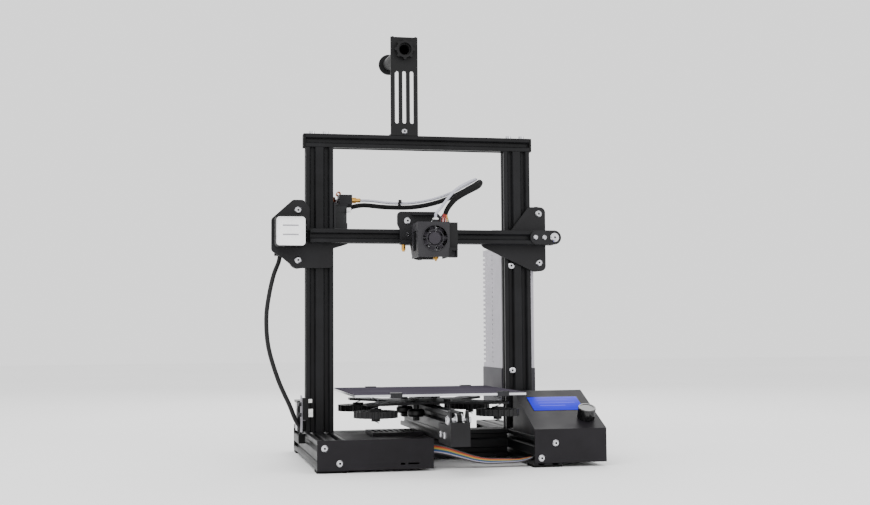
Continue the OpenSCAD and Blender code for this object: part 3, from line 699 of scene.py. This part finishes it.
@dataclass
class Swept:
    """Faces of one or more swept tubes, kept until they become one mesh."""

    points: list[Vector] = field(default_factory=list)
    faces: list[list[int]] = field(default_factory=list)
    places: list[list[tuple[float, float]]] = field(default_factory=list)
    slots: list[int] = field(default_factory=list)

    def tube(
        self,
        path: list[Vector],
        radius_mm: float,
        sides: int,
        slot: int = 0,
        swell: tuple[float, float, float] = (0.0, 0.5, 0.1),
    ) -> None:
        """Adds a closed round tube along a path, with its UV in millimetres.

        Args:
            path: The points down its middle.
            radius_mm: Its radius.
            sides: How many sides it has.
            slot: Its material slot.
            swell: How many mm it swells by, where along it, and over what share of it.
        """
        ways = headings(path)
        side = ways[0].orthogonal().normalized()
        start, along, whole = len(self.points), 0.0, route_length(path)
        extra, middle, spread = swell
        girth = math.tau * radius_mm
        lengths = []
        for i, (point, way) in enumerate(zip(path, ways)):
            side = (side - way * side.dot(way)).normalized()
            up = way.cross(side)
            along += (point - path[i - 1]).length / MM if i else 0.0
            lengths.append(along)
            off = (along * MM / whole - middle) / spread
            radius = (radius_mm + extra * math.exp(-off * off)) * MM
            for j in range(sides):
                a = math.tau * j / sides
                self.points.append(
                    point + (side * math.cos(a) + up * math.sin(a)) * radius
                )
        for i in range(len(path) - 1):
            for j in range(sides):
                k = (j + 1) % sides
                low, high = start + i * sides, start + (i + 1) * sides
                self.add(
                    [low + j, low + k, high + k, high + j],
                    [
                        (girth * j / sides, lengths[i]),
                        (girth * (j + 1) / sides, lengths[i]),
                        (girth * (j + 1) / sides, lengths[i + 1]),
                        (girth * j / sides, lengths[i + 1]),
                    ],
                    slot,
                )
        end = start + (len(path) - 1) * sides
        flat = [(0.0, 0.0)] * sides
        self.add([start + j for j in reversed(range(sides))], flat, slot)
        self.add([end + j for j in range(sides)], flat, slot)

    def add(
        self, face: list[int], places: list[tuple[float, float]], slot: int
    ) -> None:
        """Adds one face with its UV and material slot."""
        self.faces.append(face)
        self.places.append(places)
        self.slots.append(slot)

    def piece(self, name: str, finishes: list[Finish]) -> bpy.types.Object:
        """Turns what was swept into one smooth piece.

        Args:
            name: The piece's name.
            finishes: One finish for each material slot.

        Returns:
            The piece.
        """
        mesh = bpy.data.meshes.new(name)
        mesh.from_pydata([tuple(p) for p in self.points], [], self.faces)
        layer = mesh.uv_layers.new(name="lay")
        for polygon, places, slot in zip(mesh.polygons, self.places, self.slots):
            polygon.material_index = slot
            for loop, place in zip(polygon.loop_indices, places):
                layer.data[loop].uv = place
        mesh.shade_smooth()
        for finish in finishes:
            mesh.materials.append(PAINT.material(finish))
        made = bpy.data.objects.new(name, mesh)
        bpy.context.scene.collection.objects.link(made)
        return made


def dress(piece: bpy.types.Object, finish: Finish) -> bpy.types.Object:
    """Gives a piece or a CAD node one finish all over."""
    piece.data.materials.clear()
    piece.data.materials.append(PAINT.material(finish))
    return piece


def dress_part(node: str, low: Vector, high: Vector, finish: Finish) -> None:
    """Gives the faces of a CAD node inside a box a finish of their own.

    Args:
        node: The CAD node.
        low: The box's lowest corner.
        high: Its highest corner.
        finish: What those faces get.
    """
    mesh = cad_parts[node].data
    mesh.materials.append(PAINT.material(finish))
    slot = len(mesh.materials) - 1
    for polygon in mesh.polygons:
        if all(low[k] <= polygon.center[k] <= high[k] for k in range(3)):
            polygon.material_index = slot


def paint_socket_shade(node: str, finish: Finish, radius_mm: float = 1.8) -> None:
    """Paints shade into the hex socket of each screw of a CAD node, as a black finish on the recess.

    Args:
        node: A node of separate screws, each along a row axis.
        finish: The black finish that stands for the shade in the sockets.
        radius_mm: How far from the screw's axis a socket reaches.
    """
    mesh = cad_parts[node].data
    # The socket faces get a black finish: painted shade in the recess, not the screw's own colour.
    mesh.materials.append(PAINT.material(finish))
    slot, group = len(mesh.materials) - 1, list(range(len(mesh.vertices)))

    def root(i: int) -> int:
        """Finds the vertex that stands for a screw's whole group."""
        while group[i] != i:
            group[i] = group[group[i]]
            i = group[i]
        return i

    places: dict[tuple[int, int, int], int] = {}
    for vertex in mesh.vertices:
        spot = tuple(round(c * 1e5) for c in vertex.co)
        group[vertex.index] = root(places.setdefault(spot, vertex.index))
    for edge in mesh.edges:
        group[root(edge.vertices[0])] = root(edge.vertices[1])
    screws: dict[int, list[bpy.types.MeshPolygon]] = {}
    for polygon in mesh.polygons:
        screws.setdefault(root(polygon.vertices[0]), []).append(polygon)
    for faces in screws.values():
        points = [mesh.vertices[v].co for f in faces for v in f.vertices]
        low = Vector([min(p[k] for p in points) for k in range(3)])
        high = Vector([max(p[k] for p in points) for k in range(3)])
        size, centre = high - low, (high + low) / 2
        axis = min(range(3), key=lambda k: abs(size[k - 1] - size[k - 2]))
        for face in faces:
            off = face.center - centre
            off[axis] = 0.0
            if off.length < radius_mm * MM:
                face.material_index = slot


def mount(piece: bpy.types.Object, body: str) -> bpy.types.Object:
    """Makes a new piece ride on a body and reports it."""
    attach(piece, body)
    LOG.info("%s rides on %s", piece.name, body)
    return piece


# ---------------------------------------------------------------- the viewer's stand
@dataclass(frozen=True)
class Viewpoint:
    """Where the viewer stands, in millimetres and radians from the maker's zero.

    Args:
        x: Distance to the right.
        y: Distance behind the rails' front end; negative in front.
        z: Height over the bench.
        yaw: Turn to the right of straight ahead.
        pitch: Tilt upward.
        roll: Lean about the line of sight.
        lens_mm: Focal length on a 36 mm sensor.
    """

    x: float = -347.674
    y: float = -1659.407
    z: float = 180.572
    yaw: float = 0.202
    pitch: float = 0.066
    roll: float = -0.007
    lens_mm: float = 51.9

    def build(self) -> bpy.types.Object:
        """Makes the camera and sets it as the scene's own."""
        ahead = Vector(
            (
                math.sin(self.yaw) * math.cos(self.pitch),
                math.cos(self.yaw) * math.cos(self.pitch),
                math.sin(self.pitch),
            )
        )
        right = Vector((math.cos(self.yaw), -math.sin(self.yaw), 0.0))
        up = right.cross(ahead)
        lean_right = right * math.cos(self.roll) + up * math.sin(self.roll)
        lean_up = up * math.cos(self.roll) - right * math.sin(self.roll)
        camera = bpy.data.objects.new("camera", bpy.data.cameras.new("camera"))
        bpy.context.scene.collection.objects.link(camera)
        turn = Matrix((lean_right, lean_up, -ahead)).transposed().to_4x4()
        camera.matrix_world = Matrix.Translation(DATUM.at(self.x, self.y, self.z)) @ turn
        camera.data.lens, camera.data.sensor_width = self.lens_mm, 36.0
        camera.data.clip_start, camera.data.clip_end = 0.05, 30.0
        bpy.context.scene.camera = camera
        return camera


@dataclass(frozen=True)
class Studio:
    """A white sweep and soft boxes.

    Args:
        floor_m: Side of the sweep.
        sky: Strength of the even white light all round.
        key_w: Power of the large box over the front left.
        fill_w: Power of the box at the front right.
        rim_w: Power of the box behind, which lights edges.
    """

    floor_m: float = 14.0
    sky: float = 1.5
    key_w: float = 26.0
    fill_w: float = 12.0
    rim_w: float = 16.0

    def build(self) -> None:
        """Makes the floor, the world and the boxes."""
        clear_selection()
        bpy.ops.mesh.primitive_plane_add(size=self.floor_m)
        floor = settle(bpy.context.active_object, "floor")
        dress(floor, FLOOR_WHITE)
        world = bpy.data.worlds.new("studio")
        world.use_nodes = True
        bpy.context.scene.world = world
        back = world.node_tree.nodes["Background"]
        back.inputs["Color"].default_value = (1.0, 1.0, 1.0, 1.0)
        back.inputs["Strength"].default_value = self.sky
        boxes = (
            ("key", (-1.1, -1.5, 1.7), 1.4, self.key_w),
            ("fill", (1.5, -1.4, 0.9), 1.2, self.fill_w),
            ("rim", (0.3, 1.5, 1.5), 1.4, self.rim_w),
        )
        for name, place, size, power in boxes:
            light = bpy.data.lights.new(name, "AREA")
            light.energy, light.size = power, size
            box = bpy.data.objects.new(name, light)
            bpy.context.scene.collection.objects.link(box)
            aim = Vector((0.0, 0.0, 0.25)) - Vector(place)
            box.matrix_world = (
                Matrix.Translation(place) @ aim.to_track_quat("-Z", "Y").to_matrix().to_4x4()
            )


# ---------------------------------------------------------------- leads and tubes
@dataclass(frozen=True)
class Lead:
    """One free lead between two parts of the machine.

    Args:
        node: The CAD node it replaces, and the piece's name.
        route: Its route in millimetres from the maker's zero.
        radius_mm: Its radius.
        sides: How many sides its mesh has.
        finish: What it is made of.
        slot: Name of a material slot; not used.
        stiffness: How stiff it is; not used.
        steps: Points made between two of the route's.
        swell: How many mm it swells by, where along it, and over what share of it.
    """

    node: str
    route: list[tuple[float, float, float]]
    radius_mm: float
    sides: int
    finish: Finish
    slot: str
    stiffness: str
    steps: int = 4
    swell: tuple[float, float, float] = (0.0, 0.5, 0.1)

    def path(self) -> list[Vector]:
        """Gives the points down the middle of the lead."""
        return smooth_route(DATUM.route(self.route), self.steps)

    def build(self) -> bpy.types.Object:
        """Makes the lead's mesh in place of its CAD node."""
        sweep = Swept()
        sweep.tube(self.path(), self.radius_mm, self.sides, swell=self.swell)
        piece = sweep.piece(self.node, [self.finish])
        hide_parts(self.node)
        return piece

    def declare(
        self, piece: bpy.types.Object, with_pieces: tuple[str, ...] = ()
    ) -> None:
        """Logs how long the lead is.

        Args:
            piece: The built lead.
            with_pieces: Names of the separate pieces on it; not used.
        """
        path = self.path()
        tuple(path[0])
        route_length(path)
        LOG.info("%s is %.0f mm long", piece.name, route_length(path) / MM)


class Leads:
    """The four leads that hang in the open: harness, filament tube, loom, ribbon."""

    HARNESS = Lead(
        "base_harness",
        [
            (-203, 178, 297.2), (-205, 177.4, 288), (-212, 175, 270), (-219, 171, 240),
            (-223, 168, 207), (-220, 166, 165), (-206, 165, 118), (-190, 163, 82),
            (-182, 162, 62), (-175, 162, 50), (-172.5, 161.8, 40.9),
        ],
        3.2, 20, HARNESS_PVC, "braid_black", "medium",
    )
    FEED = Lead(
        "bowden_tube",
        [
            (-83.5, 185, 382), (-66, 180, 381), (-40, 168, 377), (-10, 153, 376),
            (20, 138, 381), (43, 127, 389), (60, 118, 398), (72, 108, 405), (73, 97, 406),
            (64, 87, 402), (50, 81, 395), (38, 78, 387), (26, 75, 374), (17, 74, 362),
            (9.4, 74, 353), (8.5, 74, 346.9),
        ],
        2.0, 20, FEED_TUBE, "white_tube", "stiff",
    )
    LOOM = Lead(
        "sleeved_loom",
        [
            (-97, 181, 371.4), (-78, 180.6, 374.4), (-48, 171, 371), (-12, 155.4, 369.6),
            (18, 140, 374), (42, 128.6, 382), (60, 121, 390.6), (74, 113, 398.4),
            (80, 102, 401.8), (74, 90, 396), (62, 84, 390), (50, 81, 383), (39, 81, 375),
            (31, 81, 366), (26, 81, 358), (24, 81, 352),
        ],
        3.4, 24, SLEEVE, "braid_black", "medium", swell=(2.0, 0.8, 0.1),
    )
    RIBBON_ROUTE = [
        (-15, 21, 27.6), (-6, 21, 27), (10, 21, 24), (30, 21, 18), (50, 21, 12),
        (68, 21, 9), (90, 21, 8.4), (110, 21, 8.4), (122, 21, 10), (131, 21, 12.5),
    ]
    RIBBON_WIRES = ("slate", "red", "orange", "yellow", "teal", "blue", "grey", "black")
    RIBBON_PITCH_MM = 1.8
    RIBBON_WIDTH_MM = 14.4
    RIBBON_WIRE_R_MM = 0.88
    RIBBON_TURN = math.radians(62)
    FAN_END_Y_MM = 74.0
    FEED_END_Y_MM = 185.0
    HARNESS_GRIP_MM = 4.0
    WIRE_END_R_MM = 0.95

    def ribbon(self) -> bpy.types.Object:
        """Makes the flat cable: eight joined wires that twist flat on the bench side."""
        path = smooth_route(DATUM.route(self.RIBBON_ROUTE), 4)
        across = []
        for i, way in enumerate(headings(path)):
            level = way.cross(Vector((0, 0, 1))).normalized()
            down = way.cross(level)
            turn = self.RIBBON_TURN * (1 - i / (len(path) - 1))
            across.append(level * math.cos(turn) + down * math.sin(turn))
        sweep = Swept()
        middle = (len(self.RIBBON_WIRES) - 1) / 2
        for k in range(len(self.RIBBON_WIRES)):
            shift = (k - middle) * self.RIBBON_PITCH_MM * MM
            line = [p + a * shift for p, a in zip(path, across)]
            sweep.tube(line, self.RIBBON_WIRE_R_MM, 10, k)
        piece = sweep.piece("ribbon_cable", [WIRES[w] for w in self.RIBBON_WIRES])
        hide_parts("ribbon_cable")
        mount(piece, "frame")
        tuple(path[0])
        route_length(path)
        return piece

    def head_wires(self) -> bpy.types.Object:
        """Makes the coloured wire ends that leave the loom and enter the shroud."""
        ends = (
            ("black", (22.0, 81, 354), (18.6, 79.5, 350), (16.6, 77.5, 344), (16, 76, 338.6)),
            ("red", (22.8, 79.8, 354), (20.4, 78.2, 350), (18.8, 77, 344), (18.4, 76, 338.6)),
            ("red", (23.8, 79.4, 354), (22.4, 77.8, 350), (21.2, 76.6, 344), (20.8, 76, 338.6)),
            ("orange", (25.0, 79.6, 354), (24.6, 78, 350), (24.6, 77, 344), (25, 76.5, 338)),
            ("yellow", (25.8, 80.6, 354), (26.4, 79.6, 350), (27.2, 79, 344), (27.6, 79, 338)),
            ("blue", (25.4, 82.0, 354), (26.6, 82, 350), (28.6, 82, 344), (29.4, 82, 338)),
            ("slate", (23.0, 82.4, 354), (21.6, 83, 350), (20, 83.6, 344), (19, 84, 338.6)),
            ("black", (24.0, 82.0, 354), (23.4, 80.6, 350), (23, 79.6, 344), (23, 79, 338.6)),
            ("black", (22.6, 81.6, 354), (20.8, 81, 350), (19.4, 80.4, 344), (19.2, 80, 338.6)),
        )
        sweep = Swept()
        for k, (_, *points) in enumerate(ends):
            sweep.tube(smooth_route(DATUM.route(points), 4), self.WIRE_END_R_MM, 8, k)
        piece = sweep.piece("head_wire_ends", [WIRES[e[0]] for e in ends])
        return mount(piece, "head")

    def tie(self) -> bpy.types.Object:
        """Makes the tie that holds the loom under the filament tube."""
        centre = DATUM.at(-27.8, 162.4, 373.4)
        way = (DATUM.at(-12, 154, 372) - DATUM.at(-44, 168, 373)).normalized()
        clear_selection()
        bpy.ops.mesh.primitive_torus_add(
            major_radius=5.2 * MM, minor_radius=0.9 * MM, major_segments=40, minor_segments=10
        )
        band = bpy.context.active_object
        turn = way.to_track_quat("Z", "X").to_matrix().to_4x4()
        band.matrix_world = Matrix.Translation(centre) @ turn @ Matrix.Diagonal(
            (1.1, 0.8, 1.5, 1.0)
        )
        settle(band, "loom_tie")
        bpy.ops.object.shade_smooth()
        head = slab(
            "tie_head", Vector((-2.2, -2.0, -2.4)) * MM, Vector((2.2, 2.0, 2.4)) * MM, 0.5,
            Matrix.Translation(centre + Vector((0, -4.6 * MM, 5.0 * MM))),
        )
        return dress(join([band, head], "loom_tie"), BLACK_ABS)

    def build(self) -> None:
        """Makes the leads, the wire ends and the tie, and logs how long the harness, tube and loom
        are.
        """
        self.ribbon()
        harness = self.HARNESS.build()
        bottom, top = self.HARNESS.path()[-1], self.HARNESS.path()[0]
        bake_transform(harness)
        self.HARNESS.declare(harness)
        near = (0, DATUM.at(0, self.FEED_END_Y_MM, 0).y, 0)
        far = (0, DATUM.at(0, self.FAN_END_Y_MM, 0).y, 0)
        feed, loom = self.FEED.build(), self.LOOM.build()
        for piece in (feed, loom):
            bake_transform(piece)
        wires = self.head_wires()
        tie = self.tie()
        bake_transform(tie)
        self.FEED.declare(feed)
        self.LOOM.declare(loom, (wires.name, tie.name))


# ---------------------------------------------------------------- control panel
@dataclass
class ControlPanel:
    """The tilted panel with its display and knob.

    Args:
        tilt: Slope of the panel from level, in radians.
        bend_z: Height of its front bend in mm.
        bend_y: Depth of its front bend in mm.
        centre_x: Middle of the display across the machine, in mm.
        centre_s: Middle of the display up the slope, in mm.
        width: Width of the display in mm.
        height: Height of the display up the slope, in mm.
    """

    # Height up the display and width of each light bar, in mm.
    BARS = ((10.0, 46.0), (1.5, 54.0), (-7.0, 38.0))
    tilt: float = math.radians(23)
    bend_z: float = 52.0
    bend_y: float = -2.0
    centre_x: float = 180.2
    centre_s: float = 78.0
    width: float = 76.8
    height: float = 45.2

    def face(self) -> Matrix:
        """Gives the matrix from the display's middle, in metres, to the row frame."""
        run, rise = math.cos(self.tilt), math.sin(self.tilt)
        origin = DATUM.at(
            self.centre_x, self.bend_y + self.centre_s * run, self.bend_z + self.centre_s * rise
        )
        return Matrix.Translation(origin) @ Matrix.Rotation(self.tilt, 4, "X")

    def plate(
        self, name: str, x: float, y: float, w: float, h: float, low: float, high: float,
        finish: Finish, rounding: float = 0.15,
    ) -> bpy.types.Object:
        """Makes one flat layer of the display, placed from its middle in mm."""
        piece = slab(
            name,
            Vector((x - w / 2, y - h / 2, low)) * MM,
            Vector((x + w / 2, y + h / 2, high)) * MM,
            rounding,
            self.face(),
        )
        return dress(piece, finish)

    def build(self) -> None:
        """Makes the bezel, the lit glass and its plain light bars."""
        bezel = self.plate(
            "display_bezel", 0, 0, self.width, self.height, -2.0, 0.1, BEZEL, 0.3
        )
        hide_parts("lcd_screen")
        mount(bezel, "frame")
        glass = self.plate(
            "display_glass", 0, 0, self.width - 3.2, self.height - 3.2, -1.0, 0.3, SCREEN_BLUE
        )
        mount(glass, "frame")
        widest = max(w for _, w in self.BARS)
        bars = [
            self.plate(
                f"display_bar_{k}", 2 - (widest - w) / 2, y, w, 1.6, 0.1, 0.42, SCREEN_MARKS, 0.1
            )
            for k, (y, w) in enumerate(self.BARS)
        ]
        mount(join(bars, "display_bars"), "frame")
        dress(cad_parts["display_box"], SHEET_COAT)
        dress(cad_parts["encoder_knob"], KNOB_GLOSS)
        LOG.info("control panel dressed")


# ---------------------------------------------------------------- bed
@dataclass
class Bed:
    """The heated bed with its springs, clips and levelling knobs.

    Args:
        wire_r: Radius of the spring wire in mm.
        coil_r: Radius of a spring's coil in mm.
        turns: Number of turns of each spring.
        spots: The studs' distance from the bed's middle, in mm.
        middle_y: The bed's middle, in mm from the maker's zero.
    """

    WIRE_SIDES = 10
    wire_r: float = 0.7
    coil_r: float = 3.9
    turns: int = 5
    spots: float = 85.0
    middle_y: float = 115.5

    def spring(self, low: float, high: float, radius: float) -> bpy.types.Object:
        """Makes one coil spring on the maker's Z axis with a screw modifier.

        Args:
            low: Height of its lowest wire's middle in mm.
            high: Height of its highest wire's middle in mm.
            radius: Radius of the coil in mm.

        Returns:
            The spring.
        """
        clear_selection()
        bpy.ops.mesh.primitive_circle_add(
            vertices=self.WIRE_SIDES,
            radius=self.wire_r * MM,
            fill_type="NGON",
            location=(radius * MM, 0, low * MM),
            rotation=(math.pi / 2, 0, 0),
        )
        piece = settle(bpy.context.active_object, "bed_spring")
        twist = piece.modifiers.new("coil", "SCREW")
        twist.axis, twist.steps, twist.iterations = "Z", 28, self.turns
        twist.screw_offset = (high - low) * MM / self.turns
        twist.use_merge_vertices = False
        bpy.ops.object.modifier_apply(modifier=twist.name)
        bpy.ops.object.mode_set(mode="EDIT")
        bpy.ops.mesh.select_all(action="SELECT")
        bpy.ops.mesh.fill_holes(sides=self.WIRE_SIDES)
        bpy.ops.mesh.normals_make_consistent(inside=False)
        bpy.ops.object.mode_set(mode="OBJECT")
        bpy.ops.object.shade_smooth_by_angle(angle=math.radians(50))
        return piece

    def build(self) -> None:
        """Makes the springs and dresses the bed's own nodes."""
        low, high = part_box("bed_springs")
        foot, top = low.z / MM + self.wire_r, high.z / MM - self.wire_r
        first = self.spring(foot, top, self.coil_r)
        springs = [first]
        for _ in range(3):
            twin = bpy.data.objects.new("bed_spring", first.data.copy())
            bpy.context.scene.collection.objects.link(twin)
            springs.append(twin)
        places = [(i * self.spots, j * self.spots) for i in (-1, 1) for j in (-1, 1)]
        for k, (spring, (x, y)) in enumerate(zip(springs, places)):
            spring.data.transform(
                Matrix.Translation(DATUM.at(x, self.middle_y + y, 0))
            )
            spring.name = spring.data.name = f"bed_spring_{k}"
            dress(spring, SPRING_STEEL)
            mount(spring, "bed")
        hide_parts("bed_springs")
        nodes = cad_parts
        for node, finish in {
            "bed_carriage": PLATE_COAT,
            "bed_plate": PLATE_ALUMINIUM,
            "bed_surface": PRINT_MAT,
            "bed_clips": CLIP_STEEL,
            "bed_wheels": WHEEL_POM,
            "knob_front_left": KNOB_ABS,
            "knob_front_right": KNOB_ABS,
            "knob_rear_left": KNOB_ABS,
            "knob_rear_right": KNOB_ABS,
        }.items():
            dress(nodes[node], finish)
        LOG.info("bed dressed")


# ---------------------------------------------------------------- frame
class BaseFrame:
    """Rails, uprights, cases, supply, spool arm and what is screwed to them."""

    FINISHES = {
        "base_rail_left": anodised(Grain.DRAWN_Y),
        "base_rail_right": anodised(Grain.DRAWN_Y),
        "y_beam": anodised(Grain.DRAWN_Y),
        "cross_beam": anodised(Grain.DRAWN_X),
        "top_bar": anodised(Grain.DRAWN_X),
        "upright_left": anodised(Grain.DRAWN_Z),
        "upright_right": anodised(Grain.DRAWN_Z),
        "y_idler_bracket": PLATE_COAT,
        "frame_motors": MOTOR_BLACK,
        "electronics_box": SHEET_COAT,
        "power_supply": CASE_STEEL,
        "psu_end_cover": COVER_ABS,
        "spool_holder": BLACK_ABS,
        "z_limit_switch": BRACKET_STEEL,
        "feet_and_caps": RUBBER,
        "frame_bolts": ZINC,
        "y_belt": BELT_Y,
        "power_switch": ROCKER_RED,
        "lead_screw": SCREW_STEEL,
        "y_drive_pulley": PLATE_ALUMINIUM,
        "y_idler_pulley": PLATE_ALUMINIUM,
    }

    def build(self) -> None:
        """Dresses the nodes, and the parts of them made of something else."""
        for node, finish in self.FINISHES.items():
            dress(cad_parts[node], finish)
        # The supply's inlet is black nylon with bright pins.
        at = DATUM.at
        dress_part("psu_end_cover", at(134.5, 261, 101), at(171.5, 282, 128), BLACK_ABS)
        dress_part("psu_end_cover", at(145, 264, 109), at(161, 279.5, 119.5), ZINC)
        # The height switch: black body, white plug housings, dark screws.
        dress_part("z_limit_switch", at(-173.5, 135.5, 61.5), at(-165.3, 146, 93.5), BLACK_ABS)
        dress_part("z_limit_switch", at(-165.6, 136.5, 65.5), at(-158.5, 146, 91.5), WHITE_NYLON)
        dress_part("z_limit_switch", at(-180, 137, 60), at(-175.1, 145, 90), CLIP_STEEL)
        # Steppers: bright end plates either side of the black laminations.
        for low, high in (
            (at(-178, 170, 74.5), at(-134, 214, 84.5)),
            (at(-178, 170, 40), at(-134, 214, 53.5)),
        ):
            dress_part("frame_motors", low, high, HEAT_SINK)
        # The screws' hex sockets get painted shade: a black finish in each recess.
        paint_socket_shade("frame_bolts", BLACK_ABS)
        LOG.info("frame dressed")


# ---------------------------------------------------------------- gantry and head
class Gantry:
    """The lifted beam with its motors, covers, feed unit and wheels."""

    LABEL_X_MM = (-213.4, -172.9)
    LABEL_Z_MM = (308.5, 349.0)
    LABEL_FRONT_MM = 107.3
    LABEL_THICK_MM = 0.35
    LABEL_CORNER_MM = 4.5
    RULE_Z_MM = (336.0, 323.0)
    RULE_INSET_MM = 9.0
    RULE_HEIGHT_MM = 2.0
    FINISHES = {
        "x_beam": anodised(Grain.DRAWN_X),
        "gantry_plate_left": PLATE_COAT,
        "gantry_plate_right": PLATE_COAT,
        "gantry_motors": MOTOR_BLACK,
        "x_motor_cover": BLACK_ABS,
        "belt_tensioner": PLATE_COAT,
        "x_belt": BELT_X,
        "extruder_body": PLATE_COAT,
        "gantry_wheels": WHEEL_POM,
        "gantry_bolts": ZINC,
        "x_drive_pulley": PLATE_ALUMINIUM,
        "x_idler_pulley": PLATE_ALUMINIUM,
        "extruder_lever": HEAT_SINK,
        "extruder_gear": COPPER,
    }

    def label(self) -> None:
        """Makes the plain round-cornered label on the drive cover."""
        (x0, x1), (z0, z1), y = self.LABEL_X_MM, self.LABEL_Z_MM, self.LABEL_FRONT_MM
        clear_selection()
        bpy.ops.mesh.primitive_cube_add(size=1)
        piece = bpy.context.active_object
        piece.scale = Vector((x1 - x0, self.LABEL_THICK_MM, z1 - z0)) * MM
        piece.location = DATUM.at((x0 + x1) / 2, y, (z0 + z1) / 2)
        settle(piece, "drive_label")
        for edge in piece.data.edges:
            a, b = (piece.data.vertices[v].co for v in edge.vertices)
            edge.select = abs(a.y - b.y) > 0.2 * MM
        bpy.ops.object.mode_set(mode="EDIT")
        bpy.ops.mesh.select_mode(type="EDGE")
        bpy.ops.mesh.bevel(offset=self.LABEL_CORNER_MM * MM, segments=8, affect="EDGES")
        bpy.ops.object.mode_set(mode="OBJECT")
        apply_bevel(piece, 0.08, 2)
        mount(dress(piece, LABEL_FILM), "gantry")
        # Two plain rules, so that the label is not blank.
        rules = [
            slab(
                f"label_rule_{k}",
                DATUM.at(x0 + self.RULE_INSET_MM, y - 0.3, z),
                DATUM.at(x1 - self.RULE_INSET_MM, y - 0.1, z + self.RULE_HEIGHT_MM),
                0.05,
            )
            for k, z in enumerate(self.RULE_Z_MM)
        ]
        mount(dress(join(rules, "label_rules"), LABEL_INK), "gantry")

    def feed_unit(self) -> None:
        """Makes the lever's spring and the feed motor's plug."""
        spring = Bed(wire_r=0.6, turns=6).spring(0, 13, 2.7)
        start, way = DATUM.at(-114.5, 190, 392.4), Vector((0, 1, 0))
        spring.data.transform(
            Matrix.Translation(start) @ way.to_track_quat("Z", "Y").to_matrix().to_4x4()
        )
        spring.name = spring.data.name = "lever_spring"
        mount(dress(spring, COPPER), "gantry")
        plug = slab(
            "feed_motor_plug", DATUM.at(-106, 164.5, 362.6), DATUM.at(-99.6, 171, 368.8), 0.5
        )
        mount(dress(plug, WHITE_NYLON), "gantry")

    def build(self) -> None:
        """Dresses the nodes and makes the small pieces on them."""
        for node, finish in self.FINISHES.items():
            dress(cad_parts[node], finish)
        at = DATUM.at
        # The feed unit's outlet fitting is brass; its hex end faces the head.
        dress_part("extruder_body", at(-97.2, 179.5, 377), at(-83, 190.5, 387), BRASS)
        # The screws' hex sockets get painted shade: a black finish in each recess.
        paint_socket_shade("gantry_bolts", BLACK_ABS)
        self.label()
        self.feed_unit()
        LOG.info("gantry dressed")


class Head:
    """The print head: plate, shroud, fan, blower, hot end and its wheels."""

    FINISHES = {
        "carriage_plate": PLATE_COAT,
        "fan_shroud": SHROUD_COAT,
        "hot_end": HEAT_SINK,
        "carriage_bolts": ZINC,
        "fan_rotor": FAN_ABS,
        "carriage_wheel_left": WHEEL_POM,
        "carriage_wheel_right": WHEEL_POM,
        "carriage_wheel_lower": WHEEL_POM,
    }

    def build(self) -> None:
        """Dresses the nodes and makes the white release collar over the hot end."""
        for node, finish in self.FINISHES.items():
            dress(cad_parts[node], finish)
        at = DATUM.at
        dress_part("hot_end", at(0, 66, 284), at(17, 82, 292.3), BRASS)
        dress_part("hot_end", at(-35, 106, 300), at(-27, 117, 311.5), BRASS)
        dress_part("hot_end", at(0, 66, 333.5), at(17, 82, 344.2), CLIP_STEEL)
        dress_part("fan_shroud", at(23.8, 49, 289), at(37.4, 92.5, 339.1), BLACK_ABS)
        # The screws' hex sockets get painted shade: a black finish in each recess.
        paint_socket_shade("carriage_bolts", BLACK_ABS)
        duct = slab(
            "blower_duct", DATUM.at(24.2, 57, 289.6), DATUM.at(36.4, 64, 300.4), 0.8
        )
        mount(dress(duct, SHROUD_COAT), "head")
        collar = barrel(
            "release_collar", DATUM.at(8.5, 74, 345.2), Vector((0, 0, 1)), 4.3, 3.0, 0.5
        )
        mount(dress(collar, WHITE_NYLON), "head")
        LOG.info("head dressed")


def main() -> None:
    """Builds the view, the leads, every sub-assembly and the studio, in that order."""
    logging.basicConfig(level=logging.INFO, format="%(message)s")
    Viewpoint().build()
    Leads().build()
    for assembly in (BaseFrame(), ControlPanel(), Bed(), Gantry(), Head()):
        assembly.build()
    Studio().build()


if __name__ == "__main__":
    main()
